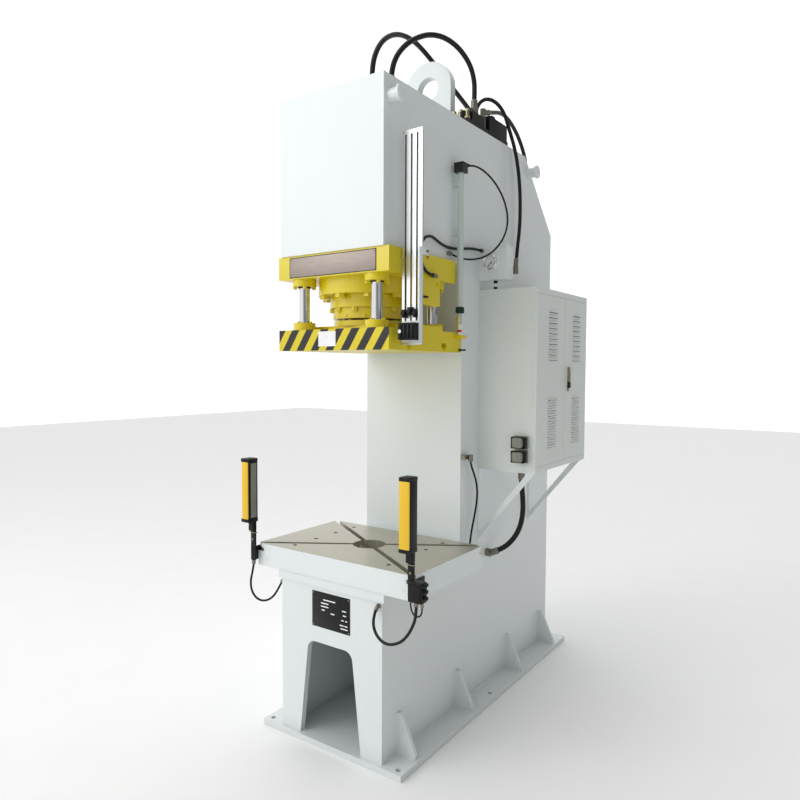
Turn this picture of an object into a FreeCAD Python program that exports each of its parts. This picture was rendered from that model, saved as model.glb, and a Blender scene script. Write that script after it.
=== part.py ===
"""C-frame hydraulic press.

All sizes are in millimetres. +Z is up, the front of the press faces -Y, and the electrical
cabinet hangs on the +X side. The origin is on the underside of the base plate, midway along it.
Working values below put the front face of the welded body at y = 0; every solid is moved back
by the base plate's middle at export, so that the origin lies under the middle of the plate.
"""
import FreeCAD, Part
import math
import os

V = FreeCAD.Vector
X_AXIS, Y_AXIS, Z_AXIS = V(1, 0, 0), V(0, 1, 0), V(0, 0, 1)

# ---------------------------------------------------------------- driving dimensions
body_width = 516.0            # over the side plates
side_thick = 25.0
plate_thick = 20.0            # head front plate and the folded top and back plate
base_width = 710.0
base_thick = 25.0
base_front = -15.0
base_rear = 1575.0
anchor_radius = 11.0
anchor_edge_side = 30.0
anchor_edge_front = 28.0
anchor_edge_rear = 102.0
lower_body_top = 646.0
column_front = 570.0
body_rear = 1532.0
head_bottom = 1960.0
body_top = 2577.0
top_chamfer = 340.0
throat_fillet = 60.0

arch_half_foot = 157.0
arch_half_top = 112.0
arch_top = 420.0
arch_fillet = 40.0
front_plate_thick = 25.0
head_floor_thick = 40.0

support_half_width = 271.0
support_thick = 30.0
support_front = -8.0
table_half_width = 400.0
table_depth = 512.0
table_thick = 95.0
table_bore_radius = 70.0
table_hole_radius = 7.0       # tapping size of M16
table_hole_depth = 32.0
table_hole_row_x = 243.0
table_hole_first_y = 61.0
table_hole_pitch = 130.0
table_holes_per_row = 4
slot_neck = 22.0              # T-slots in the table and the ram
slot_neck_depth = 18.0
slot_head = 37.0
slot_head_depth = 16.0

ram_half_width = 278.0
ram_front = 9.0
ram_rear = 530.0
ram_bottom = 1582.0
ram_thick = 83.0
ram_slot_front_y = 138.0
ram_slot_pitch = 255.0
ram_pad_front = 118.0
ram_pad_rear = 378.0
ram_pad_thick = 18.0
ram_stroke = 350.0
cylinder_y = 256.0

guide_plate_front = 8.0
guide_plate_rear = 479.0
guide_plate_bottom = 1868.0
barrel_radius = 150.0
barrel_bore_radius = 110.0
barrel_flange_radius = 212.0
barrel_flange_thick = 62.0
barrel_top = 2530.0
barrel_crown = 40.0
gland_radius = 164.0
gland_thick = 50.0
gland_nose_radius = 152.0
gland_nose_thick = 44.0
gland_spigot = 30.0
rod_radius = 90.0
running_gap = 0.05            # radial clearance of every sliding or turning fit
piston_thick = 90.0
piston_top_gap = 10.0
seat_gap = 0.4                # clearance round a part that only passes through a hole
boss_radius = 148.0
boss_gap = 8.0                # between the boss and the gland nose when the ram is up

post_radius = 22.0
front_post_x, front_post_y = 185.0, 60.0
rear_post_x, rear_post_y = 200.0, 425.0
post_top = 2300.0
bush_radius = 32.0
bush_flange_radius = 48.0
bush_flange_thick = 27.0
bush_top_extra = 12.0
collar_radius = 45.0
collar_thick = 30.0

block_inner_x, block_outer_x = 222.0, 276.0
block_front, block_rear = 205.0, 362.0
block_height = 105.0

bolt_head_across = 36.0       # M24 cap, across flats
bolt_head_height = 15.0
flange_bolt_count = 10
flange_bolt_circle = 190.0

rail_inner_x = 283.0
rail_width = 88.0
rail_front = 84.0
rail_thick = 8.0
rail_bottom = 1601.0
rail_top = 2382.0
rail_foot_depth = 66.0
rail_foot_height = 62.0
rail_slot_width = 9.0
rail_slot_bottom = 1690.0
rail_slot_top = 2362.0
rail_slot_first = 16.0
rail_slot_pitch = 25.0
dog_count = 3
dog_size = 20.0
dog_height = 30.0
dog_bottom = 1700.0
dog_block_thick = 12.0
dog_knob_radius = 8.0
dog_knob_length = 8.0
dog_neck_gap = 0.3

holder_inner_x = 303.0
holder_strap_inner_x, holder_strap_outer_x = 372.5, 378.0
holder_strap_rear = 77.0
holder_rear = 60.0
holder_arm_front, holder_arm_rear = 100.0, 114.0
holder_plate_thick = 3.0
holder_bottom, holder_top = 1611.0, 1686.0
holder_strap_top = 1952.0
holder_arm_bottom = 1926.0
switch_inner_x, switch_outer_x = 307.0, 375.0
switch_front = 28.0
switch_bottom, switch_top = 1616.0, 1678.0
switch_modules = 4
switch_groove_half, switch_groove_depth = 1.0, 4.0

probe_x, probe_y = 293.0, 493.0
probe_tube_radius = 13.5
probe_bore_radius = 7.0
probe_bottom, probe_head_bottom, probe_top = 1758.0, 2325.0, 2366.0
probe_head_half = 21.0
probe_rod_radius = 4.0
probe_rod_top = 2250.0
probe_ear_bottom = 1640.0
probe_ear_thick = 14.0
probe_clamp_height = 22.0
probe_guide_bite = 1.0

lug_y = 706.0
lug_radius = 124.0
lug_hole_radius = 55.0
lug_hole_z = 2795.0
lug_thick = 40.0
spool_radius = 24.0
spool_flange_radius = 31.0
spool_length = 55.0
spool_flange_thick = 9.0
spool_front_y, spool_rear_y = 38.0, 1222.0
spool_z = 2500.0

tank_front, tank_rear = 640.0, 1460.0
tank_bottom, tank_top = 1300.0, 1990.0
tank_wall = 6.0
motor_radius = 118.0
motor_front, motor_rear = 700.0, 960.0
motor_axis_z = 2130.0
rotor_radius = 58.0
rotor_gap = 1.0
motor_shield = 16.0
motor_shaft_radius = 14.0
pump_half = 48.0
bell_radius = 84.0
bell_wall = 14.0
bell_length = 80.0
pump_length = 120.0
pump_shaft_depth = 40.0
hub_radius = 32.0

manifold_inner_x, manifold_outer_x = 140.0, 236.0
manifold_front, manifold_rear = 640.0, 1040.0
manifold_height = 34.0
port_x = (102.0, 7.0)         # cylinder ports, one each side of the piston
port_radius = 19.0
port_top = 2648.0
port_clear_radius = 26.0

gauge_box_outer_x = 405.0
gauge_box_front, gauge_box_rear = 700.0, 765.0
gauge_box_bottom, gauge_box_top = 1905.0, 2050.0
gauge_x, gauge_z = 336.0, 1978.0
gauge_radius = 31.0
gauge_depth = 26.0
gauge_wall = 2.0
needle_length = 21.0

cabinet_outer_x = 521.0
cabinet_front, cabinet_rear = 727.0, 1327.0
cabinet_bottom, cabinet_top = 1062.0, 1866.0
cabinet_wall = 3.0
door_thick = 18.0
door_skin = 2.5
door_gap = 0.5
door_seam_y = 1046.0
door_seam_gap = 2.0
handle_y = 1080.0
handle_pivot_z = 1512.0
handle_length = 84.0
handle_plate_half = 14.0
handle_plate_thick = 4.0

curtain_x, curtain_y = 403.0, -45.0
curtain_half_x, curtain_half_y = 22.5, 26.0
curtain_bottom, curtain_top = 868.0, 1136.0
curtain_bracket_bottom = 700.0

window_half, window_bottom, window_top = 150.0, 500.0, 1200.0
cover_overlap = 22.0
cover_thick = 3.0
louvre_rows = 12
louvre_first, louvre_pitch, louvre_height, louvre_half = 130.0, 40.0, 12.0, 100.0

rib_thick = 16.0
rib_reach = 84.0
rib_height = 162.0
rib_toe = 18.0
rib_places = (100.0, 545.0, 1035.0, 1437.0)
dog_stagger = (0.0, 8.0, 0.0)
dog_washer = 4.0
probe_clamp_places = (2070.0, 2270.0)
probe_guide = 12.0
spindle_radius = 1.5
spindle_length = 14.0
needle_thick = 1.2
needle_half = 1.6
needle_hub = 4.0
needle_arm_gap = 1.0
needle_from_case = 2.0
needle_rest_angle = 135.0
motor_foot_half = 84.0
rotor_end_gap = 10.0
hub_gap = 8.0
valve_width = 72.0
valve_places = ((688.0, 800.0, 44.0), (850.0, 1030.0, 70.0))
cabinet_lip = 22.0
cabinet_rail = 26.0              # shell edge above and below the doors
door_edge_gap = 1.0
handle_pin_radius = 5.0
handle_thick = 11.0
handle_half = 6.5
handle_boss_radius = 10.0
handle_face_gap = 0.3
panel_thick = 3.0
panel_edge = 30.0
gear_places = ((70.0, 560.0, 130.0, 150.0, 90.0), (230.0, 580.0, 270.0, 110.0, 70.0),
               (70.0, 340.0, 60.0, 90.0, 80.0), (150.0, 340.0, 60.0, 90.0, 80.0),
               (230.0, 340.0, 60.0, 90.0, 80.0), (330.0, 330.0, 170.0, 110.0, 60.0),
               (70.0, 150.0, 430.0, 60.0, 45.0))
bracket_places = (732.0, 1282.0)
bracket_width = 36.0
bracket_thick = 5.0
bracket_web = 30.0
bracket_bottom = 728.0
bracket_reach = 532.0
plug_places = (1104.0, 1166.0)
plug_inner_x, plug_outer_x = 442.0, 507.0
plug_height = 56.0
plug_base = 26.0
plug_depth = 52.0
plug_step = 6.0
stem_half = 13.0
stem_thick = 8.0
foot_thick = 6.0
foot_rear = 62.0
foot_top = 758.0
relay_inner_x, relay_outer_x = 416.0, 474.0
relay_front = -66.0
relay_rear = curtain_y + curtain_half_y - stem_thick
relay_bottom, relay_top = 700.0, 772.0

# ---------------------------------------------------------------- derived values
half_body = body_width / 2.0
inner_x = half_body - side_thick
table_bottom = lower_body_top + support_thick
table_top = table_bottom + table_thick
ram_top = ram_bottom + ram_thick
ram_pad_top = ram_top + ram_pad_thick
flange_bottom = guide_plate_bottom - barrel_flange_thick
gland_bottom = flange_bottom - gland_thick
gland_nose_bottom = gland_bottom - gland_nose_thick
boss_top = gland_nose_bottom - boss_gap
barrel_inner_top = barrel_top - barrel_crown
piston_top = barrel_inner_top - piston_top_gap
origin_y = (base_front + base_rear) / 2.0
posts = [(sx * px, py) for px, py in ((front_post_x, front_post_y), (rear_post_x, rear_post_y))
         for sx in (-1, 1)]
switch_back = holder_rear - holder_plate_thick


# ---------------------------------------------------------------- helpers
def block(x0, x1, y0, y1, z0, z1):
    """An upright box between two corners."""
    return Part.makeBox(x1 - x0, y1 - y0, z1 - z0, V(x0, y0, z0))


def rod(radius, length, x, y, z, axis=Z_AXIS):
    """A solid cylinder that starts at a point and runs along an axis."""
    return Part.makeCylinder(radius, length, V(x, y, z), axis)


def ring(outer, inner, length, x, y, z, axis=Z_AXIS):
    """A cylinder with a bore through it."""
    return rod(outer, length, x, y, z, axis).cut(rod(inner, length, x, y, z, axis))


def hexagon(across, height, x, y, z):
    """A hexagonal bolt head that stands on z and grows upwards."""
    radius = across / math.sqrt(3.0)
    angles = [math.radians(60 * i) for i in range(6)]
    corners = [V(x + radius * math.cos(a), y + radius * math.sin(a), z) for a in angles]
    return Part.Face(Part.makePolygon(corners + corners[:1])).extrude(V(0, 0, height))


def prism(points, direction):
    """Extrude a closed polygon."""
    return Part.Face(Part.makePolygon(points + points[:1])).extrude(direction)


def join(shapes):
    """Fuse touching shapes into one solid."""
    result = shapes[0]
    for shape in shapes[1:]:
        result = result.fuse(shape)
    return result.removeSplitter()


def cut(shape, tools):
    for tool in tools:
        shape = shape.cut(tool)
    return shape


def group(shapes):
    """Keep separate solids together in one node."""
    return Part.makeCompound([solid for shape in shapes for solid in shape.Solids])


def side_profile(inset, y_back):
    """Corners of the top, slope and back line, moved inwards by an inset."""
    drop = inset * math.tan(math.radians(22.5))
    return [(body_top - inset, body_rear - top_chamfer - drop),
            (body_top - top_chamfer - drop, y_back - inset)]


# ---------------------------------------------------------------- welded body
def base_plate():
    plate = block(-base_width / 2, base_width / 2, base_front, base_rear, 0, base_thick)
    return cut(plate, [rod(anchor_radius, base_thick, x, y, 0) for x, y in anchor_places()])


def anchor_places():
    x = base_width / 2 - anchor_edge_side
    first, last = base_front + anchor_edge_front, base_rear - anchor_edge_rear
    return [(sx * x, y) for y in (first, (first + last) / 2, last) for sx in (-1, 1)]


def side_plate(side):
    """One flame-cut C-shaped side plate, with a rounded upper throat corner."""
    x = side * half_body if side < 0 else inner_x
    points = [V(x, y, z) for y, z in (
        (0, base_thick), (0, lower_body_top), (column_front, lower_body_top),
        (column_front, head_bottom), (0, head_bottom), (0, body_top),
        (body_rear - top_chamfer, body_top), (body_rear, body_top - top_chamfer), (body_rear, base_thick))]
    plate = prism(points, V(side_thick, 0, 0))
    corner = block(x, x + side_thick, column_front - throat_fillet, column_front,
                   head_bottom - throat_fillet, head_bottom)
    round_off = rod(throat_fillet, side_thick, x, column_front - throat_fillet,
                    head_bottom - throat_fillet, X_AXIS)
    return join([plate, corner.cut(round_off)])


def base_front_plate():
    """Front plate of the pedestal with its arched doorway."""
    plate = block(-inner_x, inner_x, 0, front_plate_thick, base_thick, lower_body_top)
    points = [V(-arch_half_foot, 0, base_thick), V(-arch_half_top, 0, arch_top),
              V(arch_half_top, 0, arch_top), V(arch_half_foot, 0, base_thick)]
    hole = prism(points, V(0, front_plate_thick, 0))
    upper = [e for e in hole.Edges
             if e.BoundBox.ZMin > base_thick + arch_fillet and e.BoundBox.XLength < arch_half_top]
    return plate.cut(hole.makeFillet(arch_fillet, upper))


def table_support_plate():
    return block(-support_half_width, support_half_width, support_front, column_front,
                 lower_body_top, table_bottom)


def column_front_plate():
    return block(-inner_x, inner_x, column_front, column_front + front_plate_thick,
                 lower_body_top, head_bottom)


def head_floor_plate():
    """Thick floor of the head that the cylinder and the guide posts pass through."""
    plate = block(-inner_x, inner_x, plate_thick, column_front + front_plate_thick,
                  head_bottom, head_bottom + head_floor_thick)
    holes = [rod(barrel_radius + seat_gap, head_floor_thick, 0, cylinder_y, head_bottom)]
    holes += [rod(bush_radius + seat_gap, head_floor_thick, x, y, head_bottom) for x, y in posts]
    return cut(plate, holes)


def head_front_plate():
    return block(-inner_x, inner_x, 0, plate_thick, head_bottom, body_top - plate_thick)


def front_plates():
    """The pedestal's, the column's and the head's front plate, three separate pieces."""
    return group([base_front_plate(), column_front_plate(), head_front_plate()])


def folded_rear_plate():
    """Top, slope and back in one folded plate, with the rear window and the port holes."""
    outer, inner = side_profile(0, body_rear), side_profile(plate_thick, body_rear)
    points = [(0, body_top), (outer[0][1], body_top), (body_rear, outer[1][0]), (body_rear, base_thick),
              (body_rear - plate_thick, base_thick), (inner[1][1], inner[1][0]),
              (inner[0][1], body_top - plate_thick), (0, body_top - plate_thick)]
    plate = prism([V(-inner_x, y, z) for y, z in points], V(2 * inner_x, 0, 0))
    window = block(-window_half, window_half, body_rear - plate_thick, body_rear, window_bottom, window_top)
    ports = [rod(port_clear_radius, plate_thick, x, cylinder_y, body_top - plate_thick) for x in port_x]
    return cut(plate, [window] + ports)


def rear_cover():
    """Bolted sheet cover over the rear window, with two louvre fields left as slots."""
    plate = block(-window_half - cover_overlap, window_half + cover_overlap, body_rear,
                  body_rear + cover_thick, window_bottom - cover_overlap, window_top + cover_overlap)
    slots = []
    for row in range(louvre_rows):
        z = window_bottom + louvre_first + row * louvre_pitch
        slots.append(block(-louvre_half, louvre_half, body_rear, body_rear + cover_thick,
                           z, z + louvre_height))
    return cut(plate, slots)


def gusset_ribs():
    """Triangular ribs between the base plate and both side plates."""
    ribs = []
    for side in (-1, 1):
        for y in rib_places:
            wall = side * half_body
            tip, shoulder = wall + side * rib_reach, wall + side * rib_toe
            points = [V(wall, y, base_thick), V(tip, y, base_thick), V(tip, y, base_thick + rib_toe),
                      V(shoulder, y, base_thick + rib_height), V(wall, y, base_thick + rib_height)]
            ribs.append(prism(points, V(0, rib_thick, 0)))
    return group(ribs)


def lifting_lug():
    front = lug_y - lug_thick / 2
    plate = block(-lug_radius, lug_radius, front, front + lug_thick, body_top, lug_hole_z)
    crown = rod(lug_radius, lug_thick, 0, front, lug_hole_z, Y_AXIS)
    return join([plate, crown]).cut(rod(lug_hole_radius, lug_thick, 0, front, lug_hole_z, Y_AXIS))


def lifting_spools():
    """Two flanged spools on the cabinet's side of the head."""
    spools = []
    for y in (spool_front_y, spool_rear_y):
        core = rod(spool_radius, spool_length, half_body, y, spool_z, X_AXIS)
        flange = rod(spool_flange_radius, spool_flange_thick,
                     half_body + spool_length - spool_flange_thick, y, spool_z, X_AXIS)
        spools.append(join([core, flange]))
    return group(spools)


# ---------------------------------------------------------------- table
def slot_cutter(start, end, z_face, up):
    """A T-slot cutter along a line; it opens at z_face, towards +Z when up is 1."""
    along = end - start
    length = along.Length
    direction = along.normalize()
    across = V(-direction.y, direction.x, 0)
    z_neck = z_face - up * slot_neck_depth
    z_head = z_neck - up * slot_head_depth
    parts = []
    for half, z0, z1 in ((slot_neck / 2, z_neck, z_face), (slot_head / 2, z_head, z_neck)):
        low, high = min(z0, z1), max(z0, z1)
        a, b = start - across * half, start + across * half
        run = direction * length
        parts.append(prism([V(a.x, a.y, low), V(b.x, b.y, low), V(b.x + run.x, b.y + run.y, low),
                            V(a.x + run.x, a.y + run.y, low)], V(0, 0, high - low)))
    return join(parts)


def table_plate():
    """Machined table with a centre bore, two diagonal T-slots and two rows of tapped holes."""
    plate = block(-table_half_width, table_half_width, 0, table_depth, table_bottom, table_top)
    reach = slot_head
    tools = [rod(table_bore_radius, table_thick, 0, cylinder_y, table_bottom)]
    for side in (-1, 1):
        corner = V(side * table_half_width, table_depth / 2, 0)
        direction = V(corner.x, corner.y, 0).normalize()
        centre = V(0, cylinder_y, 0)
        half_length = math.hypot(table_half_width, table_depth / 2) + reach
        reach_out = direction * half_length
        tools.append(slot_cutter(centre - reach_out, centre + reach_out, table_top, 1))
    for side in (-1, 1):
        for i in range(table_holes_per_row):
            y = table_hole_first_y + i * table_hole_pitch
            tools.append(rod(table_hole_radius, table_hole_depth, side * table_hole_row_x, y,
                             table_top - table_hole_depth))
    return cut(plate, tools)


# ---------------------------------------------------------------- cylinder and guides
def guide_plate():
    plate = block(-ram_half_width, ram_half_width, guide_plate_front, guide_plate_rear,
                  guide_plate_bottom, head_bottom)
    thick = head_bottom - guide_plate_bottom
    holes = [rod(barrel_radius + seat_gap, thick, 0, cylinder_y, guide_plate_bottom)]
    holes += [rod(bush_radius + seat_gap, thick, x, y, guide_plate_bottom) for x, y in posts]
    return cut(plate, holes)


def cylinder_barrel():
    """Barrel with its clamping flange and closed crown, bored for the piston; two top ports."""
    flange = rod(barrel_flange_radius, barrel_flange_thick, 0, cylinder_y, flange_bottom)
    tube = rod(barrel_radius, barrel_top - flange_bottom, 0, cylinder_y, flange_bottom)
    bore = rod(barrel_bore_radius, barrel_inner_top - flange_bottom, 0, cylinder_y, flange_bottom)
    ports = [rod(port_radius, port_top - barrel_top, x, cylinder_y, barrel_top) for x in port_x]
    return join([flange, tube] + ports).cut(bore)


def gland_ring():
    """Stepped gland that closes the barrel and guides the rod."""
    body = rod(gland_radius, gland_thick, 0, cylinder_y, gland_bottom)
    nose = rod(gland_nose_radius, gland_nose_thick, 0, cylinder_y, gland_nose_bottom)
    spigot = rod(barrel_bore_radius - running_gap, gland_spigot, 0, cylinder_y, flange_bottom)
    hole = rod(rod_radius + running_gap, gland_nose_thick + gland_thick + gland_spigot, 0, cylinder_y,
               gland_nose_bottom)
    return join([body, nose, spigot]).cut(hole)


def flange_bolts():
    """Hexagon heads under the cylinder's clamping flange."""
    heads = []
    for i in range(flange_bolt_count):
        angle = math.radians(360.0 * (i + 0.5) / flange_bolt_count)
        x = flange_bolt_circle * math.cos(angle)
        y = cylinder_y + flange_bolt_circle * math.sin(angle)
        heads.append(hexagon(bolt_head_across, bolt_head_height, x, y, flange_bottom - bolt_head_height))
    return group(heads)


def guide_bushes():
    """Flanged bushes that the four guide posts slide in."""
    bottom = guide_plate_bottom - bush_flange_thick
    top = head_bottom + head_floor_thick + bush_top_extra
    bushes = []
    for x, y in posts:
        body = join([rod(bush_radius, top - bottom, x, y, bottom),
                     rod(bush_flange_radius, bush_flange_thick, x, y, bottom)])
        bushes.append(body.cut(rod(post_radius + running_gap, top - bottom, x, y, bottom)))
    return group(bushes)


def lubrication_block():
    """Yellow block under the guide plate that feeds grease to the right-hand bushes."""
    return block(block_inner_x, block_outer_x, block_front, block_rear,
                 guide_plate_bottom - block_height, guide_plate_bottom)


# ---------------------------------------------------------------- ram
def ram_platen():
    """Ram platen with two T-slots below, a raised pad above and the probe's ear."""
    plate = block(-ram_half_width, ram_half_width, ram_front, ram_rear, ram_bottom, ram_top)
    pad = block(-ram_half_width, ram_half_width, ram_pad_front, ram_pad_rear, ram_top, ram_pad_top)
    ear = block(ram_half_width, probe_x + probe_head_half / 2, probe_y - probe_head_half / 2, ram_rear,
                probe_ear_bottom, probe_ear_bottom + probe_ear_thick)
    slots = []
    for i in (0, 1):
        y = ram_slot_front_y + i * ram_slot_pitch
        slots.append(slot_cutter(V(-ram_half_width, y, 0), V(ram_half_width, y, 0), ram_bottom, -1))
    return cut(join([plate, pad, ear]), slots)


def ram_boss():
    return rod(boss_radius, boss_top - ram_pad_top, 0, cylinder_y, ram_pad_top)


def piston_rod():
    """Chromed rod turned in one piece with its piston."""
    stem = rod(rod_radius, piston_top - boss_top, 0, cylinder_y, boss_top)
    piston = rod(barrel_bore_radius - running_gap, piston_thick, 0, cylinder_y, piston_top - piston_thick)
    return join([stem, piston])


def guide_posts():
    return group([rod(post_radius, post_top - ram_top, x, y, ram_top) for x, y in posts])


def post_collars():
    """Split collars that clamp the posts' feet to the ram."""
    return group([ring(collar_radius, post_radius, collar_thick, x, y, ram_top) for x, y in posts])


def limit_rail():
    """Slotted rail carried by the ram, with a foot against the ram's side."""
    rail = block(rail_inner_x, rail_inner_x + rail_width, rail_front, rail_front + rail_thick,
                 rail_bottom, rail_top)
    foot = block(ram_half_width, rail_inner_x + rail_thick, rail_front, rail_front + rail_foot_depth,
                 rail_bottom, rail_bottom + rail_foot_height)
    return cut(join([rail, foot]), [rail_slot(i) for i in range(dog_count)])


def rail_slot_x(index):
    return rail_inner_x + rail_slot_first + index * rail_slot_pitch


def rail_slot(index):
    x, half = rail_slot_x(index), rail_slot_width / 2
    slot = block(x - half, x + half, rail_front, rail_front + rail_thick,
                 rail_slot_bottom, rail_slot_top)
    ends = [rod(half, rail_thick, x, rail_front, z, Y_AXIS) for z in (rail_slot_bottom, rail_slot_top)]
    return join([slot] + ends)


def trip_dog(index):
    """Sliding dog clamped through its slot, with a round knob in front."""
    x, half = rail_slot_x(index), dog_size / 2
    bottom = dog_bottom + dog_stagger[index]
    front = rail_front - dog_block_thick
    body = block(x - half, x + half, front, rail_front - dog_neck_gap, bottom, bottom + dog_height)
    neck_half = rail_slot_width / 2 - dog_neck_gap
    back = rail_front + rail_thick + dog_washer
    neck = block(x - neck_half, x + neck_half, front, back, bottom, bottom + dog_size)
    washer = block(x - half, x + half, rail_front + rail_thick + dog_neck_gap, back, bottom,
                   bottom + dog_size)
    knob = rod(dog_knob_radius, dog_knob_length, x, front - dog_knob_length, bottom + dog_height / 2, Y_AXIS)
    return join([body, neck, washer, knob])


def probe_rod():
    """Thin rod of the position transducer, standing on the ram's ear."""
    start = probe_ear_bottom + probe_ear_thick
    return rod(probe_rod_radius, probe_rod_top - start, probe_x, probe_y, start)


# ---------------------------------------------------------------- switches, probe, gauge
def switch_holder():
    """Holder that reaches round the rail, from the guide plate's side to the rail's front."""
    plate = block(holder_inner_x, holder_strap_outer_x, switch_back, holder_rear, holder_bottom, holder_top)
    strap = block(holder_strap_inner_x, holder_strap_outer_x, switch_back, holder_strap_rear,
                  holder_bottom, holder_strap_top)
    elbow = block(holder_strap_inner_x, holder_strap_outer_x, switch_back, holder_arm_rear,
                  holder_arm_bottom, holder_strap_top)
    arm = block(ram_half_width, holder_strap_outer_x, holder_arm_front, holder_arm_rear,
                holder_arm_bottom, holder_strap_top)
    return join([plate, strap, elbow, arm])


def switch_block():
    """Row of sensor modules in one moulded housing."""
    pitch = (switch_outer_x - switch_inner_x) / switch_modules
    body = block(switch_inner_x, switch_outer_x, switch_front, switch_back, switch_bottom, switch_top)
    grooves = []
    for i in range(1, switch_modules):
        x = switch_inner_x + i * pitch
        grooves.append(block(x - switch_groove_half, x + switch_groove_half, switch_front,
                             switch_front + switch_groove_depth, switch_bottom, switch_top))
    return cut(body, grooves)


def probe_body():
    """Position transducer: head, tube and two clamps on the head's side plate."""
    tube = rod(probe_tube_radius, probe_head_bottom - probe_bottom, probe_x, probe_y, probe_bottom)
    head = block(probe_x - probe_head_half, probe_x + probe_head_half, probe_y - probe_head_half,
                 probe_y + probe_head_half, probe_head_bottom, probe_top)
    near, far = probe_y - probe_tube_radius, probe_y + probe_tube_radius
    clamps = [block(half_body, probe_x, near, far, z, z + probe_clamp_height) for z in probe_clamp_places]
    bore = rod(probe_bore_radius, probe_head_bottom - probe_bottom, probe_x, probe_y, probe_bottom)
    guide = ring(probe_bore_radius + probe_guide_bite, probe_rod_radius + running_gap, probe_guide,
                 probe_x, probe_y, probe_bottom)
    return join([join([tube, head] + clamps).cut(bore), guide])


def gauge_box():
    """Welded box on the head's side with a round gauge case in its front."""
    box = block(half_body, gauge_box_outer_x, gauge_box_front, gauge_box_rear,
                gauge_box_bottom, gauge_box_top)
    case = rod(gauge_radius, gauge_depth, gauge_x, gauge_box_front - gauge_depth, gauge_z, Y_AXIS)
    hollow = rod(gauge_radius - gauge_wall, gauge_depth - gauge_wall, gauge_x,
                 gauge_box_front - gauge_depth, gauge_z, Y_AXIS)
    spindle = rod(spindle_radius, spindle_length, gauge_x, gauge_box_front - gauge_wall - spindle_length,
                  gauge_z, Y_AXIS)
    return join([box, case.cut(hollow), spindle])


def gauge_needle():
    """Pointer on the gauge's spindle, at rest on zero, lower left."""
    y = gauge_box_front - gauge_wall - spindle_length + needle_from_case
    hub = ring(needle_hub, spindle_radius + running_gap, needle_thick, gauge_x, y, gauge_z, Y_AXIS)
    arm = block(gauge_x + spindle_radius + needle_arm_gap, gauge_x + needle_length, y, y + needle_thick,
                gauge_z - needle_half / 2, gauge_z + needle_half / 2)
    arm.rotate(V(gauge_x, y, gauge_z), Y_AXIS, needle_rest_angle)
    return join([hub, arm])


# ---------------------------------------------------------------- power unit
def oil_tank():
    outer = block(-inner_x, inner_x, tank_front, tank_rear, tank_bottom, tank_top)
    inner = block(-inner_x + tank_wall, inner_x - tank_wall, tank_front + tank_wall, tank_rear - tank_wall,
                  tank_bottom + tank_wall, tank_top - tank_wall)
    return outer.cut(inner)


def motor_housing():
    """Foot-mounted motor on the tank's lid, hollow for its rotor."""
    length = motor_rear - motor_front
    body = rod(motor_radius, length, 0, motor_front, motor_axis_z, Y_AXIS)
    foot = block(-motor_foot_half, motor_foot_half, motor_front + motor_shield, motor_rear - motor_shield,
                 tank_top, motor_axis_z)
    inside = rod(rotor_radius + rotor_gap, length - 2 * motor_shield, 0, motor_front + motor_shield,
                 motor_axis_z, Y_AXIS)
    shaft = rod(motor_shaft_radius + running_gap, length, 0, motor_front, motor_axis_z, Y_AXIS)
    return cut(join([body, foot]), [inside, shaft])


def motor_rotor():
    """Rotor, shaft and coupling, which turn the pump."""
    core_start = motor_front + motor_shield + rotor_end_gap
    core = rod(rotor_radius, motor_rear - motor_front - 2 * (motor_shield + rotor_end_gap), 0, core_start,
               motor_axis_z, Y_AXIS)
    shaft = rod(motor_shaft_radius, motor_rear - motor_front + bell_length + pump_length / 3, 0, motor_front,
                motor_axis_z, Y_AXIS)
    hub = rod(hub_radius, bell_length - 2 * hub_gap, 0, motor_rear + hub_gap, motor_axis_z, Y_AXIS)
    return join([core, shaft, hub])


def pump_body():
    """Bell housing and pump, bolted to the motor's end."""
    bell = rod(bell_radius, bell_length, 0, motor_rear, motor_axis_z, Y_AXIS)
    inside = rod(bell_radius - bell_wall, bell_length, 0, motor_rear, motor_axis_z, Y_AXIS)
    start = motor_rear + bell_length
    body = block(-pump_half, pump_half, start, start + pump_length,
                 motor_axis_z - pump_half, motor_axis_z + pump_half)
    plate = rod(bell_radius, bell_wall, 0, start, motor_axis_z, Y_AXIS)
    hole = rod(motor_shaft_radius + running_gap, pump_shaft_depth, 0, start, motor_axis_z, Y_AXIS)
    return join([bell.cut(inside), plate, body]).cut(hole)


def valve_manifold():
    """Manifold on the top plate with two directional valves and their solenoids."""
    top = body_top + manifold_height
    base = block(manifold_inner_x, manifold_outer_x, manifold_front, manifold_rear, body_top, top)
    parts = [base]
    for y0, y1, height in valve_places:
        parts.append(block(manifold_outer_x - valve_width, manifold_outer_x, y0, y1, top, top + height))
    return join(parts)


# ---------------------------------------------------------------- cabinet
def cabinet_shell():
    """Folded cabinet shell, open towards +X, with a return lip and an edge over and under the doors."""
    outer = block(half_body, cabinet_outer_x, cabinet_front, cabinet_rear, cabinet_bottom, cabinet_top)
    inner = block(half_body + cabinet_wall, cabinet_outer_x - cabinet_wall, cabinet_front + cabinet_wall,
                  cabinet_rear - cabinet_wall, cabinet_bottom + cabinet_wall, cabinet_top - cabinet_wall)
    mouth = block(cabinet_outer_x - cabinet_wall, cabinet_outer_x, cabinet_front + cabinet_lip,
                  cabinet_rear - cabinet_lip, cabinet_bottom + cabinet_lip, cabinet_top - cabinet_lip)
    face = cabinet_outer_x + door_gap + door_thick
    edges = [block(cabinet_outer_x, face, cabinet_front, cabinet_rear, z, z + cabinet_rail)
             for z in (cabinet_bottom, cabinet_top - cabinet_rail)]
    return join([cut(outer, [inner, mouth])] + edges)


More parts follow.
